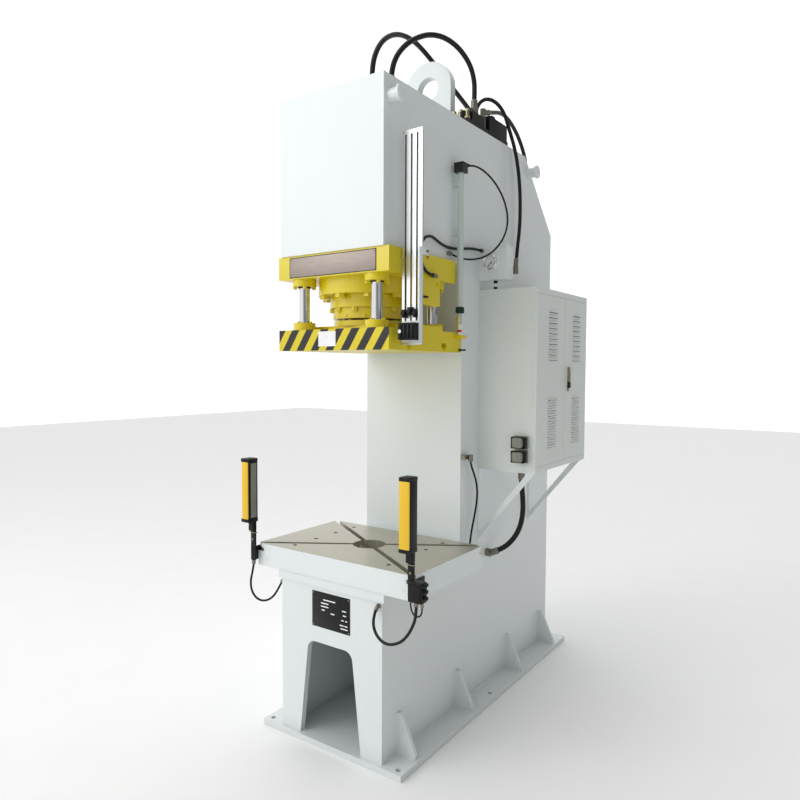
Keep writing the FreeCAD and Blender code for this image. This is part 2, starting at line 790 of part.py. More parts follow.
def cabinet_door(front, rear):
    """Folded door leaf: a skin with a return flange all round."""
    x0 = cabinet_outer_x + door_gap
    bottom = cabinet_bottom + cabinet_rail + door_edge_gap
    top = cabinet_top - cabinet_rail - door_edge_gap
    outer = block(x0, x0 + door_thick, front, rear, bottom, top)
    inner = block(x0, x0 + door_thick - door_skin, front + door_skin, rear - door_skin,
                  bottom + door_skin, top - door_skin)
    return outer.cut(inner)


def cabinet_door_front():
    return cabinet_door(cabinet_front, door_seam_y - door_seam_gap / 2)


def cabinet_door_rear():
    """Rear leaf, with the lock's fixed plate and pivot boss."""
    door = cabinet_door(door_seam_y + door_seam_gap / 2, cabinet_rear)
    x = cabinet_outer_x + door_gap + door_thick
    plate = block(x, x + handle_plate_thick, handle_y - handle_plate_half, handle_y + handle_plate_half,
                  handle_pivot_z - handle_length - handle_plate_half, handle_pivot_z + handle_plate_half)
    pin = rod(handle_pin_radius, handle_thick + handle_plate_thick, x, handle_y, handle_pivot_z, X_AXIS)
    return join([door, plate, pin])


def door_handle():
    """Lever that turns a quarter turn about the lock's pin."""
    x = cabinet_outer_x + door_gap + door_thick + handle_plate_thick + handle_face_gap
    thick = handle_thick - handle_face_gap
    boss = rod(handle_boss_radius, thick, x, handle_y, handle_pivot_z, X_AXIS)
    bar = block(x, x + thick, handle_y - handle_half, handle_y + handle_half,
                handle_pivot_z - handle_length, handle_pivot_z)
    hole = rod(handle_pin_radius + running_gap, thick, x, handle_y, handle_pivot_z, X_AXIS)
    return join([boss, bar]).cut(hole)


def cabinet_gear():
    """Mounting panel inside the cabinet with its contactors, drive and terminal rows."""
    x0 = half_body + cabinet_wall
    x1 = x0 + panel_thick
    panel = block(x0, x1, cabinet_front + panel_edge, cabinet_rear - panel_edge,
                  cabinet_bottom + panel_edge, cabinet_top - panel_edge)
    solids = [panel]
    for y, z, width, height, depth in gear_places:
        y0, z0 = cabinet_front + y, cabinet_bottom + z
        solids.append(block(x1, x1 + depth, y0, y0 + width, z0, z0 + height))
    return join(solids)


def cabinet_bracket():
    """Two triangular frames of flat bar under the cabinet."""
    frames = []
    for y in bracket_places:
        y1 = y + bracket_width
        wall = block(half_body, half_body + bracket_thick, y, y1, bracket_bottom, cabinet_bottom)
        shelf = block(half_body, bracket_reach, y, y1, cabinet_bottom - bracket_thick, cabinet_bottom)
        points = [V(half_body, y, bracket_bottom), V(bracket_reach, y, cabinet_bottom - bracket_thick),
                  V(bracket_reach, y, cabinet_bottom), V(bracket_reach - bracket_web, y, cabinet_bottom),
                  V(half_body, y, bracket_bottom + bracket_web)]
        strut = prism(points, V(0, bracket_thick, 0))
        frames.append(join([wall, shelf, strut]))
    return group(frames)


def plug_hoods():
    """Two heavy connectors, one above the other, on the cabinet's front wall."""
    hoods = []
    for z in plug_places:
        base = block(plug_inner_x, plug_outer_x, cabinet_front - plug_base, cabinet_front, z, z + plug_height)
        hood = block(plug_inner_x + plug_step, plug_outer_x - plug_step, cabinet_front - plug_depth,
                     cabinet_front - plug_base, z + plug_step, z + plug_height - plug_step)
        hoods.append(join([base, hood]))
    return group(hoods)


# ---------------------------------------------------------------- light curtains
def curtain_bar(side):
    """Light-curtain bar and the folded bracket that holds it on the table's side."""
    x = side * curtain_x
    bar = block(x - curtain_half_x, x + curtain_half_x, curtain_y - curtain_half_y,
                curtain_y + curtain_half_y, curtain_bottom, curtain_top)
    stem = block(x - stem_half, x + stem_half, curtain_y + curtain_half_y - stem_thick,
                 curtain_y + curtain_half_y, curtain_bracket_bottom, curtain_bottom)
    near, far = sorted((side * table_half_width, side * (table_half_width + foot_thick)))
    foot = block(near, far, curtain_y + curtain_half_y - stem_thick, foot_rear,
                 curtain_bracket_bottom, foot_top)
    low, high = sorted((side * table_half_width, x + side * stem_half))
    web = block(low, high, curtain_y + curtain_half_y - stem_thick, curtain_y + curtain_half_y,
                curtain_bracket_bottom, foot_top)
    return join([bar, stem, foot, web])


def relay_box():
    """Black relay box below the right-hand light curtain."""
    return block(relay_inner_x, relay_outer_x, relay_front, relay_rear, relay_bottom, relay_top)


# ---------------------------------------------------------------- fittings and cords
# Each fitting is a list of cylinders: radius, start point, end point.
fitting_parts = {
    "switch gauge box": [(9.0, (285.0, 690.0, 2035.0), (285.0, 700.0, 2035.0))],
    "block elbow": [(7.5, (278.0, 302.0, 1880.0), (290.0, 302.0, 1880.0)),
                    (9.0, (290.0, 311.0, 1880.0), (290.0, 284.0, 1880.0))],
    "probe cable gland": [(9.0, (269.0, 440.0, 1990.0), (269.0, 456.0, 1990.0)),
                          (6.0, (258.0, 448.0, 1990.0), (269.0, 448.0, 1990.0))],
    "side hose elbow": [(11.0, (258.0, 1032.0, 1985.0), (290.0, 1032.0, 1985.0)),
                        (13.0, (290.0, 1032.0, 1972.0), (290.0, 1032.0, 2008.0))],
    "first valve hose end": [(12.0, (204.0, 778.0, 2655.0), (204.0, 778.0, 2664.0))],
    "rear hose elbow": [(13.0, (214.0, 826.0, 2611.0), (214.0, 826.0, 2706.0)),
                        (12.0, (214.0, 826.0, 2690.0), (213.0, 856.0, 2700.0))],
    "slope hose end": [(13.0, (190.0, 1296.0, 2473.0), (190.0, 1316.0, 2493.0))],
    "manifold top fitting": [(16.0, (212.0, 744.0, 2655.0), (212.0, 744.0, 2684.0))],
    "manifold side fitting": [(16.0, (176.0, 830.0, 2611.0), (176.0, 830.0, 2640.0))],
    "cabinet floor gland": [(19.0, (400.0, 890.0, 1040.0), (400.0, 890.0, 1062.0))],
    "body conduit gland": [(18.0, (258.0, 822.0, 652.0), (280.0, 822.0, 652.0))],
    "column elbow": [(10.0, (269.0, 572.0, 1125.0), (269.0, 612.0, 1125.0)),
                     (9.0, (258.0, 612.0, 1125.0), (285.0, 612.0, 1125.0)),
                     (11.0, (285.0, 612.0, 1108.0), (285.0, 612.0, 1136.0))],
    "body cable elbow": [(8.5, (258.0, 613.0, 630.0), (285.0, 613.0, 630.0)),
                         (10.0, (285.0, 613.0, 620.0), (285.0, 613.0, 644.0))],
    "left body gland": [(9.0, (-258.0, 20.0, 631.0), (-268.0, 20.0, 631.0)),
                        (8.0, (-266.0, 20.0, 633.0), (-280.0, 20.0, 619.0))],
    "left bar gland": [(8.0, (-403.0, -23.0, 684.0), (-403.0, -23.0, 700.0))],
    "right body gland": [(9.0, (244.0, 0.0, 631.0), (244.0, -10.0, 631.0)),
                         (8.0, (244.0, -8.0, 633.0), (244.0, -22.0, 619.0))],
    "relay box gland": [(8.0, (440.0, -46.0, 684.0), (440.0, -46.0, 700.0))],
    "right bar gland": [(6.0, (401.0, -23.0, 684.0), (401.0, -23.0, 700.0))],
    "relay loop gland": [(6.0, (465.0, -46.0, 684.0), (465.0, -46.0, 700.0))],
}


def end_fittings():
    """Glands and hose ends."""
    solids = []
    for parts in fitting_parts.values():
        pieces = []
        for radius, start, end in parts:
            a, b = V(*start), V(*end)
            pieces.append(Part.makeCylinder(radius, (b - a).Length, a, b - a))
        solids.append(join(pieces))
    return group(solids)


# name: diameter and the hand-set points of each route, end fitting to end fitting
cords = {
    "hose_down_side": (22.0, [
        (102, 256, 2648), (103, 262, 2712), (109, 288, 2776), (121, 340, 2838), (136, 405, 2886),
        (153, 474, 2920), (172, 556, 2934), (192, 640, 2918), (207, 712, 2872), (213, 744, 2810),
        (213, 747, 2744), (212, 744, 2684)]),
    "hose_up_side": (22.0, [
        (7, 256, 2648), (6, 258, 2716), (5, 272, 2786), (2, 314, 2856), (-2, 376, 2914),
        (-6, 452, 2956), (-11, 534, 2978), (-15, 614, 2982), (-16, 692, 2968), (-6, 760, 2936),
        (22, 812, 2882), (66, 842, 2814), (116, 852, 2746), (156, 842, 2690), (176, 830, 2640)]),
    "hose_side": (17.0, [
        (204, 778, 2664), (204, 778, 2701), (218, 823, 2752), (238, 890, 2762), (257, 951, 2727),
        (268, 988, 2652), (286, 1018, 2562), (295, 1038, 2468), (299, 1050, 2374), (299, 1056, 2280),
        (297, 1055, 2188), (292, 1044, 2098), (290, 1032, 2008)]),
    "hose_rear": (19.0, [
        (213, 856, 2700), (208, 930, 2724), (200, 1018, 2753), (194, 1106, 2761), (190, 1192, 2739),
        (190, 1268, 2695), (190, 1336, 2624), (190, 1350, 2567), (190, 1336, 2513),
        (190, 1316, 2493)]),
    "probe_cable": (8.0, [
        (293, 514, 2350), (302, 534, 2364), (322, 566, 2368), (346, 606, 2350), (370, 648, 2312),
        (389, 682, 2262), (401, 702, 2206), (405, 708, 2152), (400, 698, 2100), (386, 674, 2052),
        (365, 640, 2012), (340, 600, 1986), (314, 564, 1976), (290, 530, 1976), (273, 494, 1983),
        (269, 456, 1990)]),
    "hose_block": (12.0, [
        (290, 284, 1880), (290, 240, 1883), (290, 200, 1920), (290, 190, 1974), (289, 222, 2020),
        (287, 278, 2034), (281, 338, 2020), (274, 398, 2012), (270, 458, 2013), (270, 520, 2018),
        (273, 580, 2030), (280, 636, 2036), (285, 690, 2035)]),
    "conduit_main": (24.0, [
        (400, 890, 1040), (400, 892, 978), (403, 902, 912), (403, 906, 846), (396, 898, 784),
        (378, 880, 732), (350, 856, 692), (316, 836, 668), (280, 822, 652)]),
    "column_cable": (9.0, [
        (285, 612, 1108), (285, 618, 1086), (287, 640, 1050), (288, 662, 1008), (288, 672, 960),
        (287, 666, 906), (286, 648, 852), (285, 628, 800), (285, 613, 744), (285, 610, 692),
        (285, 613, 644)]),
    "left_bar_cable": (9.0, [
        (-403, -23, 684), (-410, -24, 648), (-420, -26, 610), (-418, -25, 572), (-400, -21, 542),
        (-374, -13, 528), (-346, -3, 531), (-320, 7, 549), (-300, 15, 580), (-280, 20, 619)]),
    "right_bar_cable": (11.0, [
        (244, -22, 619), (247, -40, 596), (260, -54, 566), (284, -62, 542), (316, -67, 529),
        (352, -69, 532), (390, -62, 550), (416, -56, 582), (434, -50, 622), (440, -47, 652),
        (440, -46, 684)]),
    "bar_loop_cable": (6.0, [
        (401, -23, 684), (401, -24, 662), (420, -31, 643), (446, -40, 643), (465, -46, 662),
        (465, -46, 684)]),
}
arc_share = 0.48              # of a run that two arcs share
end_share = 0.92              # of a first or last run


def route_wire(points):
    """Straight runs joined by tangent arcs as large as the runs allow, and the arcs' radii."""
    nodes = [V(*p) for p in points]
    edges = []
    radii = []
    last = nodes[0]
    for i in range(1, len(nodes) - 1):
        before, after = nodes[i] - nodes[i - 1], nodes[i + 1] - nodes[i]
        turn = before.getAngle(after)
        share_before = end_share if i == 1 else arc_share
        share_after = end_share if i == len(nodes) - 2 else arc_share
        cut_back = min(share_before * before.Length, share_after * after.Length)
        radius = cut_back / math.tan(turn / 2)
        radii.append(radius)
        u, w = before.normalize(), after.normalize()
        a, b = nodes[i] - u * cut_back, nodes[i] + w * cut_back
        centre = nodes[i] + (w - u).normalize() * (radius / math.cos(turn / 2))
        middle = centre + (nodes[i] - centre).normalize() * radius
        edges.append(Part.LineSegment(last, a).toShape())
        edges.append(Part.Arc(a, middle, b).toShape())
        last = b
    edges.append(Part.LineSegment(last, nodes[-1]).toShape())
    wire = Part.Wire(edges)
    return wire, radii


def cord(name):
    """Plain round tube along the route."""
    diameter, points = cords[name]
    wire, radii = route_wire(points)
    start = V(*points[0])
    normal = V(*points[1]) - start
    profile = Part.Wire([Part.Circle(start, normal, diameter / 2).toShape()])
    tube = wire.makePipeShell([profile], True, False, 2)
    section = math.pi * diameter * diameter / 4
    print(name, "length", round(wire.Length), "volume ratio", round(tube.Volume / (section * wire.Length), 4),
          "least radius", round(min(radii), 1), "in diameters", round(min(radii) / diameter, 1))
    return tube


# ---------------------------------------------------------------- export
nodes = {
    "base_plate": base_plate, "side_plate_left": lambda: side_plate(-1),
    "side_plate_right": lambda: side_plate(1), "front_plates": front_plates,
    "table_support_plate": table_support_plate, "head_floor_plate": head_floor_plate,
    "folded_rear_plate": folded_rear_plate, "rear_cover": rear_cover, "gusset_ribs": gusset_ribs,
    "lifting_lug": lifting_lug, "lifting_spools": lifting_spools, "table_plate": table_plate,
    "guide_plate": guide_plate, "cylinder_barrel": cylinder_barrel, "gland_ring": gland_ring,
    "flange_bolts": flange_bolts, "guide_bushes": guide_bushes, "lubrication_block": lubrication_block,
    "ram_platen": ram_platen, "ram_boss": ram_boss, "piston_rod": piston_rod, "guide_posts": guide_posts,
    "post_collars": post_collars, "limit_rail": limit_rail, "probe_rod": probe_rod,
    "switch_holder": switch_holder, "switch_block": switch_block, "probe_body": probe_body,
    "gauge_box": gauge_box, "gauge_needle": gauge_needle, "oil_tank": oil_tank,
    "motor_housing": motor_housing, "motor_rotor": motor_rotor, "pump_body": pump_body,
    "valve_manifold": valve_manifold, "cabinet_shell": cabinet_shell,
    "cabinet_door_front": cabinet_door_front, "cabinet_door_rear": cabinet_door_rear,
    "door_handle": door_handle, "cabinet_gear": cabinet_gear, "cabinet_bracket": cabinet_bracket,
    "plug_hoods": plug_hoods, "curtain_bar_left": lambda: curtain_bar(-1),
    "curtain_bar_right": lambda: curtain_bar(1), "relay_box": relay_box, "end_fittings": end_fittings,
}
nodes.update({"trip_dog_%d" % (i + 1): (lambda i=i: trip_dog(i)) for i in range(dog_count)})
nodes.update({name: (lambda name=name: cord(name)) for name in cords})

os.makedirs("parts", exist_ok=True)
for node_name, make in nodes.items():
    shape = make()
    shape.translate(V(0, -origin_y, 0))
    if not shape.isValid():
        print("INVALID", node_name)
    shape.exportStep("parts/%s.step" % node_name)
print(len(nodes), "nodes")
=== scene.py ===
"""Finished surfaces and small parts of a C-frame hydraulic press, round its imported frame.

Lengths are in metres. +Z is up, the press faces -Y and its electrical cabinet hangs on the +X side.
Heights are from the floor, and depths are given from the front face of the welded body.
"""

import math

import bmesh
import bpy
from bpy.props import FloatProperty, FloatVectorProperty, IntProperty, PointerProperty
from mathutils import Matrix, Vector


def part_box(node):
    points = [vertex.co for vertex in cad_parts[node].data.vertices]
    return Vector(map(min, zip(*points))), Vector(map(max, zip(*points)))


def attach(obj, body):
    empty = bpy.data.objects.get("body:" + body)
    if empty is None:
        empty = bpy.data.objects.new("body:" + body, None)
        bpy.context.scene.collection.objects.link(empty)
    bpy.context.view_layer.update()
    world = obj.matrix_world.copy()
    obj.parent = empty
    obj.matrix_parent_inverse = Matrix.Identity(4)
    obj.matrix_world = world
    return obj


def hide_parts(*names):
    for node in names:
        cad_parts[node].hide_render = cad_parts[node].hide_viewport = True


bl_info = {
    "name": "Hydraulic press finishes",
    "version": (1, 0, 0),
    "blender": (4, 5, 0),
    "location": "3D View > Sidebar > Press",
    "description": "Enamel, bare metal, hoses and fittings of a C-frame hydraulic press",
    "category": "Object",
}

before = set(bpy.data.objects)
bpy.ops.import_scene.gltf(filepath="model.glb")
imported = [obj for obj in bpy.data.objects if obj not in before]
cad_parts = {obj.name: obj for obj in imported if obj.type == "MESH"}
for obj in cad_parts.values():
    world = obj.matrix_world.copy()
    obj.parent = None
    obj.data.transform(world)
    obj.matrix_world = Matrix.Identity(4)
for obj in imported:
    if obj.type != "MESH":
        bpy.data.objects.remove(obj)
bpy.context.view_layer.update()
BODY_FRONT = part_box("side_plate_left")[0].y
X_AXIS, Y_AXIS, Z_AXIS = Vector((1, 0, 0)), Vector((0, 1, 0)), Vector((0, 0, 1))


def at(x, y, z):
    """A point from its side distance, its depth behind the body's front face and its height."""
    return Vector((x, BODY_FRONT + y, z))


def linear(colour):
    """An sRGB hex colour as linear red, green, blue and alpha."""
    shares = [int(colour[i:i + 2], 16) / 255 for i in (0, 2, 4)]
    return [s / 12.92 if s <= 0.04045 else ((s + 0.055) / 1.055) ** 2.4 for s in shares] + [1.0]


# ---------------------------------------------------------------- settings
class PressColours(bpy.types.PropertyGroup):
    """Paint and plastic colours of the press."""
    body_white: FloatVectorProperty(name="Body white", description="Gloss enamel on the welded body",
                                    subtype="COLOR", size=4, min=0, max=1, default=linear("E4EAEA"))
    cabinet_grey: FloatVectorProperty(name="Cabinet grey", description="Powder coat on cabinet and gauge box",
                                      subtype="COLOR", size=4, min=0, max=1, default=linear("DCE2DE"))
    ram_yellow: FloatVectorProperty(name="Ram yellow",
                                    description="Gloss enamel on ram, guide plate and cylinder",
                                    subtype="COLOR", size=4, min=0, max=1, default=linear("E4D00E"))
    stripe_black: FloatVectorProperty(name="Stripe black", description="Dark stripes on the ram's front",
                                      subtype="COLOR", size=4, min=0, max=1, default=linear("0A0708"))
    curtain_yellow: FloatVectorProperty(name="Curtain yellow", description="Front of the light-curtain bars",
                                        subtype="COLOR", size=4, min=0, max=1, default=linear("F0C21C"))
    hose_black: FloatVectorProperty(name="Hose black", description="Rubber of hoses and cables",
                                    subtype="COLOR", size=4, min=0, max=1, default=linear("141515"))


class PressDetails(bpy.types.PropertyGroup):
    """Sizes of the small parts."""
    stripe_pitch: FloatProperty(name="Stripe pitch", description="Distance from one dark stripe to the next",
                                default=0.077, min=0.02, max=0.2, subtype="DISTANCE", unit="LENGTH")
    stripe_lean: FloatProperty(name="Stripe lean", description="Sideways run of a stripe for its height",
                               default=0.66, min=-2, max=2)
    bead: FloatProperty(name="Weld bead", description="Radius of the fillet weld beads",
                        default=0.0045, min=0.001, max=0.02, subtype="DISTANCE", unit="LENGTH")
    bead_ripple: FloatProperty(name="Bead ripple", description="Length of one ripple along a weld bead",
                               default=0.006, min=0.001, max=0.03, subtype="DISTANCE", unit="LENGTH")
    bush_bolt: FloatProperty(name="Bush bolt", description="Radius of the bolt heads under the bush flanges",
                             default=0.0085, min=0.002, max=0.02, subtype="DISTANCE", unit="LENGTH")
    gland_bolts: IntProperty(name="Gland bolts", description="Number of bolts under the gland", default=12,
                             min=3)
    louvre_rows: IntProperty(name="Louvre rows", description="Rows in one field of louvres", default=10,
                             min=1)
    louvre_length: FloatProperty(name="Louvre length", description="Length of one louvre",
                                 default=0.098, min=0.02, max=0.3, subtype="DISTANCE", unit="LENGTH")
    louvre_pitch: FloatProperty(name="Louvre pitch", description="Height from one louvre to the next",
                                default=0.0236, min=0.01, max=0.1, subtype="DISTANCE", unit="LENGTH")


class StageSettings(bpy.types.PropertyGroup):
    """Camera and lights."""
    eye: FloatVectorProperty(name="Eye", description="Camera position", size=3, subtype="TRANSLATION",
                             unit="LENGTH", default=(1.7201, -2.7506, 1.515))
    heading: FloatProperty(name="Heading", description="Turn of the view to the left of straight ahead",
                           default=math.radians(35.106), subtype="ANGLE", unit="ROTATION")
    dip: FloatProperty(name="Dip", description="Downward tilt of the view",
                       default=math.radians(2.727), subtype="ANGLE", unit="ROTATION")
    roll: FloatProperty(name="Roll", description="Roll of the camera",
                        default=math.radians(0.248), subtype="ANGLE", unit="ROTATION")
    lens: FloatProperty(name="Lens", description="Focal length on a 36 mm sensor", default=30.25, min=5,
                        subtype="DISTANCE_CAMERA")
    floor: FloatProperty(name="Floor", description="Width of the studio floor", default=16.0, min=4,
                         subtype="DISTANCE", unit="LENGTH")
    room_light: FloatProperty(name="Room light", description="Strength of the even studio light",
                              default=1.12, min=0)
    dim_side: FloatProperty(name="Dim side", description="Share of the room light on the cabinet's side",
                            default=0.25, min=0, max=1)
    key_light: FloatProperty(name="Key light", description="Power of the large soft box in front",
                             default=95.0, min=0, unit="POWER")
    fill_light: FloatProperty(name="Fill light", description="Power of the soft box over the table side",
                              default=8.0, min=0, unit="POWER")


# ---------------------------------------------------------------- node helper and finishes
def add_node(tree, kind, links=None, values=None, **settings):
    """Add a node with its settings, its input values and the links into it."""
    node = tree.nodes.new(kind)
    for key, value in settings.items():
        setattr(node, key, value)
    for key, value in (values or {}).items():
        node.inputs[key].default_value = value
    for key, source in (links or {}).items():
        tree.links.new(source, node.inputs[key])
    return node


def blank_finish(name, **values):
    """A material with one shader, its fixed values and the Object coordinates."""
    material = bpy.data.materials.new(name)
    material.use_nodes = True
    tree = material.node_tree
    tree.nodes.clear()
    shader = add_node(tree, "ShaderNodeBsdfPrincipled")
    for key, value in values.items():
        shader.inputs[key.replace("_", " ")].default_value = value
    add_node(tree, "ShaderNodeOutputMaterial", {"Surface": shader.outputs[0]})
    place = add_node(tree, "ShaderNodeTexCoord").outputs["Object"]
    return material, tree, shader, place


def sprayed_paint(name, colour, roughness, peel, peel_depth, shade=0.94, **values):
    """Sprayed paint: slow changes of tone, a rolling orange peel and a gloss that wanders a little."""
    material, tree, shader, place = blank_finish(name, **values)
    drift = add_node(tree, "ShaderNodeTexNoise", {"Vector": place}, {"Scale": 1 / 0.7, "Detail": 3.0})
    darker = [c * shade for c in colour[:3]] + [1.0]
    tone = add_node(tree, "ShaderNodeMix", {0: drift.outputs[0]}, {6: colour, 7: darker}, data_type="RGBA")
    # the colour darkens towards the bottom: over the lowest 9 cm it is mixed up to 35 % towards a darker tone
    height = add_node(tree, "ShaderNodeSeparateXYZ", {0: place})
    bottom_darkening = add_node(tree, "ShaderNodeMapRange", {"Value": height.outputs["Z"]},
                    {"From Min": 0.0, "From Max": 0.09, "To Min": 0.35, "To Max": 0.0})
    low = add_node(tree, "ShaderNodeMix", {0: bottom_darkening.outputs[0], 6: tone.outputs[2]},
                   {7: [c * 0.72 for c in colour[:3]] + [1.0]}, data_type="RGBA")
    tree.links.new(low.outputs[2], shader.inputs["Base Color"])
    cloud = add_node(tree, "ShaderNodeTexNoise", {"Vector": place}, {"Scale": 1 / 0.12, "Detail": 4.0})
    gloss = add_node(tree, "ShaderNodeMapRange", {"Value": cloud.outputs[0]},
                     {"To Min": roughness - 0.05, "To Max": roughness + 0.07})
    tree.links.new(gloss.outputs[0], shader.inputs["Roughness"])
    skin = add_node(tree, "ShaderNodeTexNoise", {"Vector": place}, {"Scale": 1 / peel, "Detail": 1.0})
    bump = add_node(tree, "ShaderNodeBump", {"Height": skin.outputs[0]},
                    {"Strength": 0.5, "Distance": peel_depth})
    tree.links.new(bump.outputs[0], shader.inputs["Normal"])
    return material, tree, shader, place, low


def white_enamel():
    """Two-pack gloss enamel on filled steel plate: a wet-looking white with soft, wavy reflections."""
    colour = list(bpy.context.scene.press_colours.body_white)
    # real orange peel is 2 to 3 mm across; 9 mm is the finest that shows at this size
    return sprayed_paint("white gloss enamel", colour, 0.3, 0.009, 0.00012, Coat_Weight=0.25,
                         Coat_Roughness=0.08)[0]


def cabinet_powder():
    """Fine-texture powder coat on folded sheet: a satin light grey that scatters its highlights."""
    colour = list(bpy.context.scene.press_colours.cabinet_grey)
    # the coat's grain is 0.8 mm; drawn at 2.5 mm to show
    return sprayed_paint("light grey powder coat", colour, 0.42, 0.0025, 0.00012, 0.96)[0]


def yellow_enamel():
    """Brushed-on gloss enamel over rough castings: a saturated lemon yellow, darker where it is thin."""
    colour = list(bpy.context.scene.press_colours.ram_yellow)
    return sprayed_paint("yellow gloss enamel", colour, 0.28, 0.006, 0.00018, 0.86,
                         Coat_Weight=0.3, Coat_Roughness=0.1)[0]


def hazard_enamel():
    """The same yellow enamel with masked black stripes on the ram's front face only."""
    colours, details = bpy.context.scene.press_colours, bpy.context.scene.press_details
    material, tree, shader, place, low = sprayed_paint(
        "striped yellow enamel", list(colours.ram_yellow), 0.3, 0.006, 0.00018, 0.86,
        Coat_Weight=0.1, Coat_Roughness=0.1)
    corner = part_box("ram_platen")[0]
    # the first dark stripe starts 18 mm in from the left lower corner and takes just over half of a turn
    stripe_start, dark_share, front_skin = 0.018, 0.52, 0.0006
    axes = add_node(tree, "ShaderNodeSeparateXYZ", {0: place})
    up = add_node(tree, "ShaderNodeMath", {0: axes.outputs["Z"]}, {1: corner.z}, operation="SUBTRACT")
    lean = add_node(tree, "ShaderNodeMath", {0: up.outputs[0]}, {1: details.stripe_lean},
                    operation="MULTIPLY")
    side = add_node(tree, "ShaderNodeMath", {0: axes.outputs["X"]}, {1: corner.x + stripe_start},
                    operation="SUBTRACT")
    run = add_node(tree, "ShaderNodeMath", {0: side.outputs[0], 1: lean.outputs[0]}, operation="SUBTRACT")
    wobble = add_node(tree, "ShaderNodeTexNoise", {"Vector": place}, {"Scale": 1 / 0.02, "Detail": 2.0})
    edge = add_node(tree, "ShaderNodeMapRange", {"Value": wobble.outputs[0]},
                    {"To Min": -0.0012, "To Max": 0.0012})
    ragged = add_node(tree, "ShaderNodeMath", {0: run.outputs[0], 1: edge.outputs[0]}, operation="ADD")
    turns = add_node(tree, "ShaderNodeMath", {0: ragged.outputs[0]}, {1: details.stripe_pitch},
                     operation="DIVIDE")
    share = add_node(tree, "ShaderNodeMath", {0: turns.outputs[0]}, operation="FRACT")
    dark = add_node(tree, "ShaderNodeMath", {0: share.outputs[0]}, {1: dark_share}, operation="LESS_THAN")
    front = add_node(tree, "ShaderNodeMath", {0: axes.outputs["Y"]}, {1: corner.y + front_skin},
                     operation="LESS_THAN")
    mask = add_node(tree, "ShaderNodeMath", {0: dark.outputs[0], 1: front.outputs[0]}, operation="MULTIPLY")
    striped = add_node(tree, "ShaderNodeMix", {0: mask.outputs[0], 6: low.outputs[2]},
                       {7: list(colours.stripe_black)}, data_type="RGBA")
    tree.links.new(striped.outputs[2], shader.inputs["Base Color"])
    return material


def ground_table():
    """Surface-ground plate steel, oiled, with white enamel on its outer edges only."""
    material, tree, shader, place = blank_finish("ground steel table")
    low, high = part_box("table_plate")
    skin = 0.0008  # a face within this of the plate's outside counts as an outer edge or the top
    # grinding scratches are 0.5 mm wide, drawn at 2 mm to show
    stretch = add_node(tree, "ShaderNodeMapping", {"Vector": place}, {"Scale": (1.0, 0.04, 1.0)})
    scratch = add_node(tree, "ShaderNodeTexNoise", {"Vector": stretch.outputs[0]},
                       {"Scale": 1 / 0.002, "Detail": 2.0})
    stain = add_node(tree, "ShaderNodeTexNoise", {"Vector": place},
                     {"Scale": 1 / 0.16, "Detail": 5.0, "Roughness": 0.6})
    grain = add_node(tree, "ShaderNodeMix", {2: stain.outputs[0], 3: scratch.outputs[0]}, {0: 0.35})
    ramp = add_node(tree, "ShaderNodeValToRGB", {0: grain.outputs[0]})
    ramp.color_ramp.elements[0].position = 0.25
    ramp.color_ramp.elements[0].color = linear("A39F91")
    ramp.color_ramp.elements[1].position = 0.75
    ramp.color_ramp.elements[1].color = linear("BFBBAC")
    axes = add_node(tree, "ShaderNodeSeparateXYZ", {0: place})
    inside = None
    for axis, edge_low, edge_high in (("X", low.x, high.x), ("Y", low.y, high.y)):
        for edge, test in ((edge_low + skin, "GREATER_THAN"), (edge_high - skin, "LESS_THAN")):
            step = add_node(tree, "ShaderNodeMath", {0: axes.outputs[axis]}, {1: edge}, operation=test)
            joined = step if inside is None else add_node(
                tree, "ShaderNodeMath", {0: inside.outputs[0], 1: step.outputs[0]}, operation="MULTIPLY")
            inside = joined
    top = add_node(tree, "ShaderNodeMath", {0: axes.outputs["Z"]}, {1: high.z - skin},
                   operation="GREATER_THAN")
    bare = add_node(tree, "ShaderNodeMath", {0: inside.outputs[0], 1: top.outputs[0]}, operation="MAXIMUM")
    white = list(bpy.context.scene.press_colours.body_white)
    colour = add_node(tree, "ShaderNodeMix", {0: bare.outputs[0], 7: ramp.outputs[0]}, {6: white},
                      data_type="RGBA")
    tree.links.new(colour.outputs[2], shader.inputs["Base Color"])
    metal = add_node(tree, "ShaderNodeMath", {0: bare.outputs[0]}, {1: 0.6}, operation="MULTIPLY")
    tree.links.new(metal.outputs[0], shader.inputs["Metallic"])
    rough = add_node(tree, "ShaderNodeMapRange", {"Value": stain.outputs[0]},
                     {"To Min": 0.24, "To Max": 0.46})
    tree.links.new(rough.outputs[0], shader.inputs["Roughness"])
    bump = add_node(tree, "ShaderNodeBump", {"Height": scratch.outputs[0]},
                    {"Strength": 0.25, "Distance": 0.0001})
    tree.links.new(bump.outputs[0], shader.inputs["Normal"])
    return material


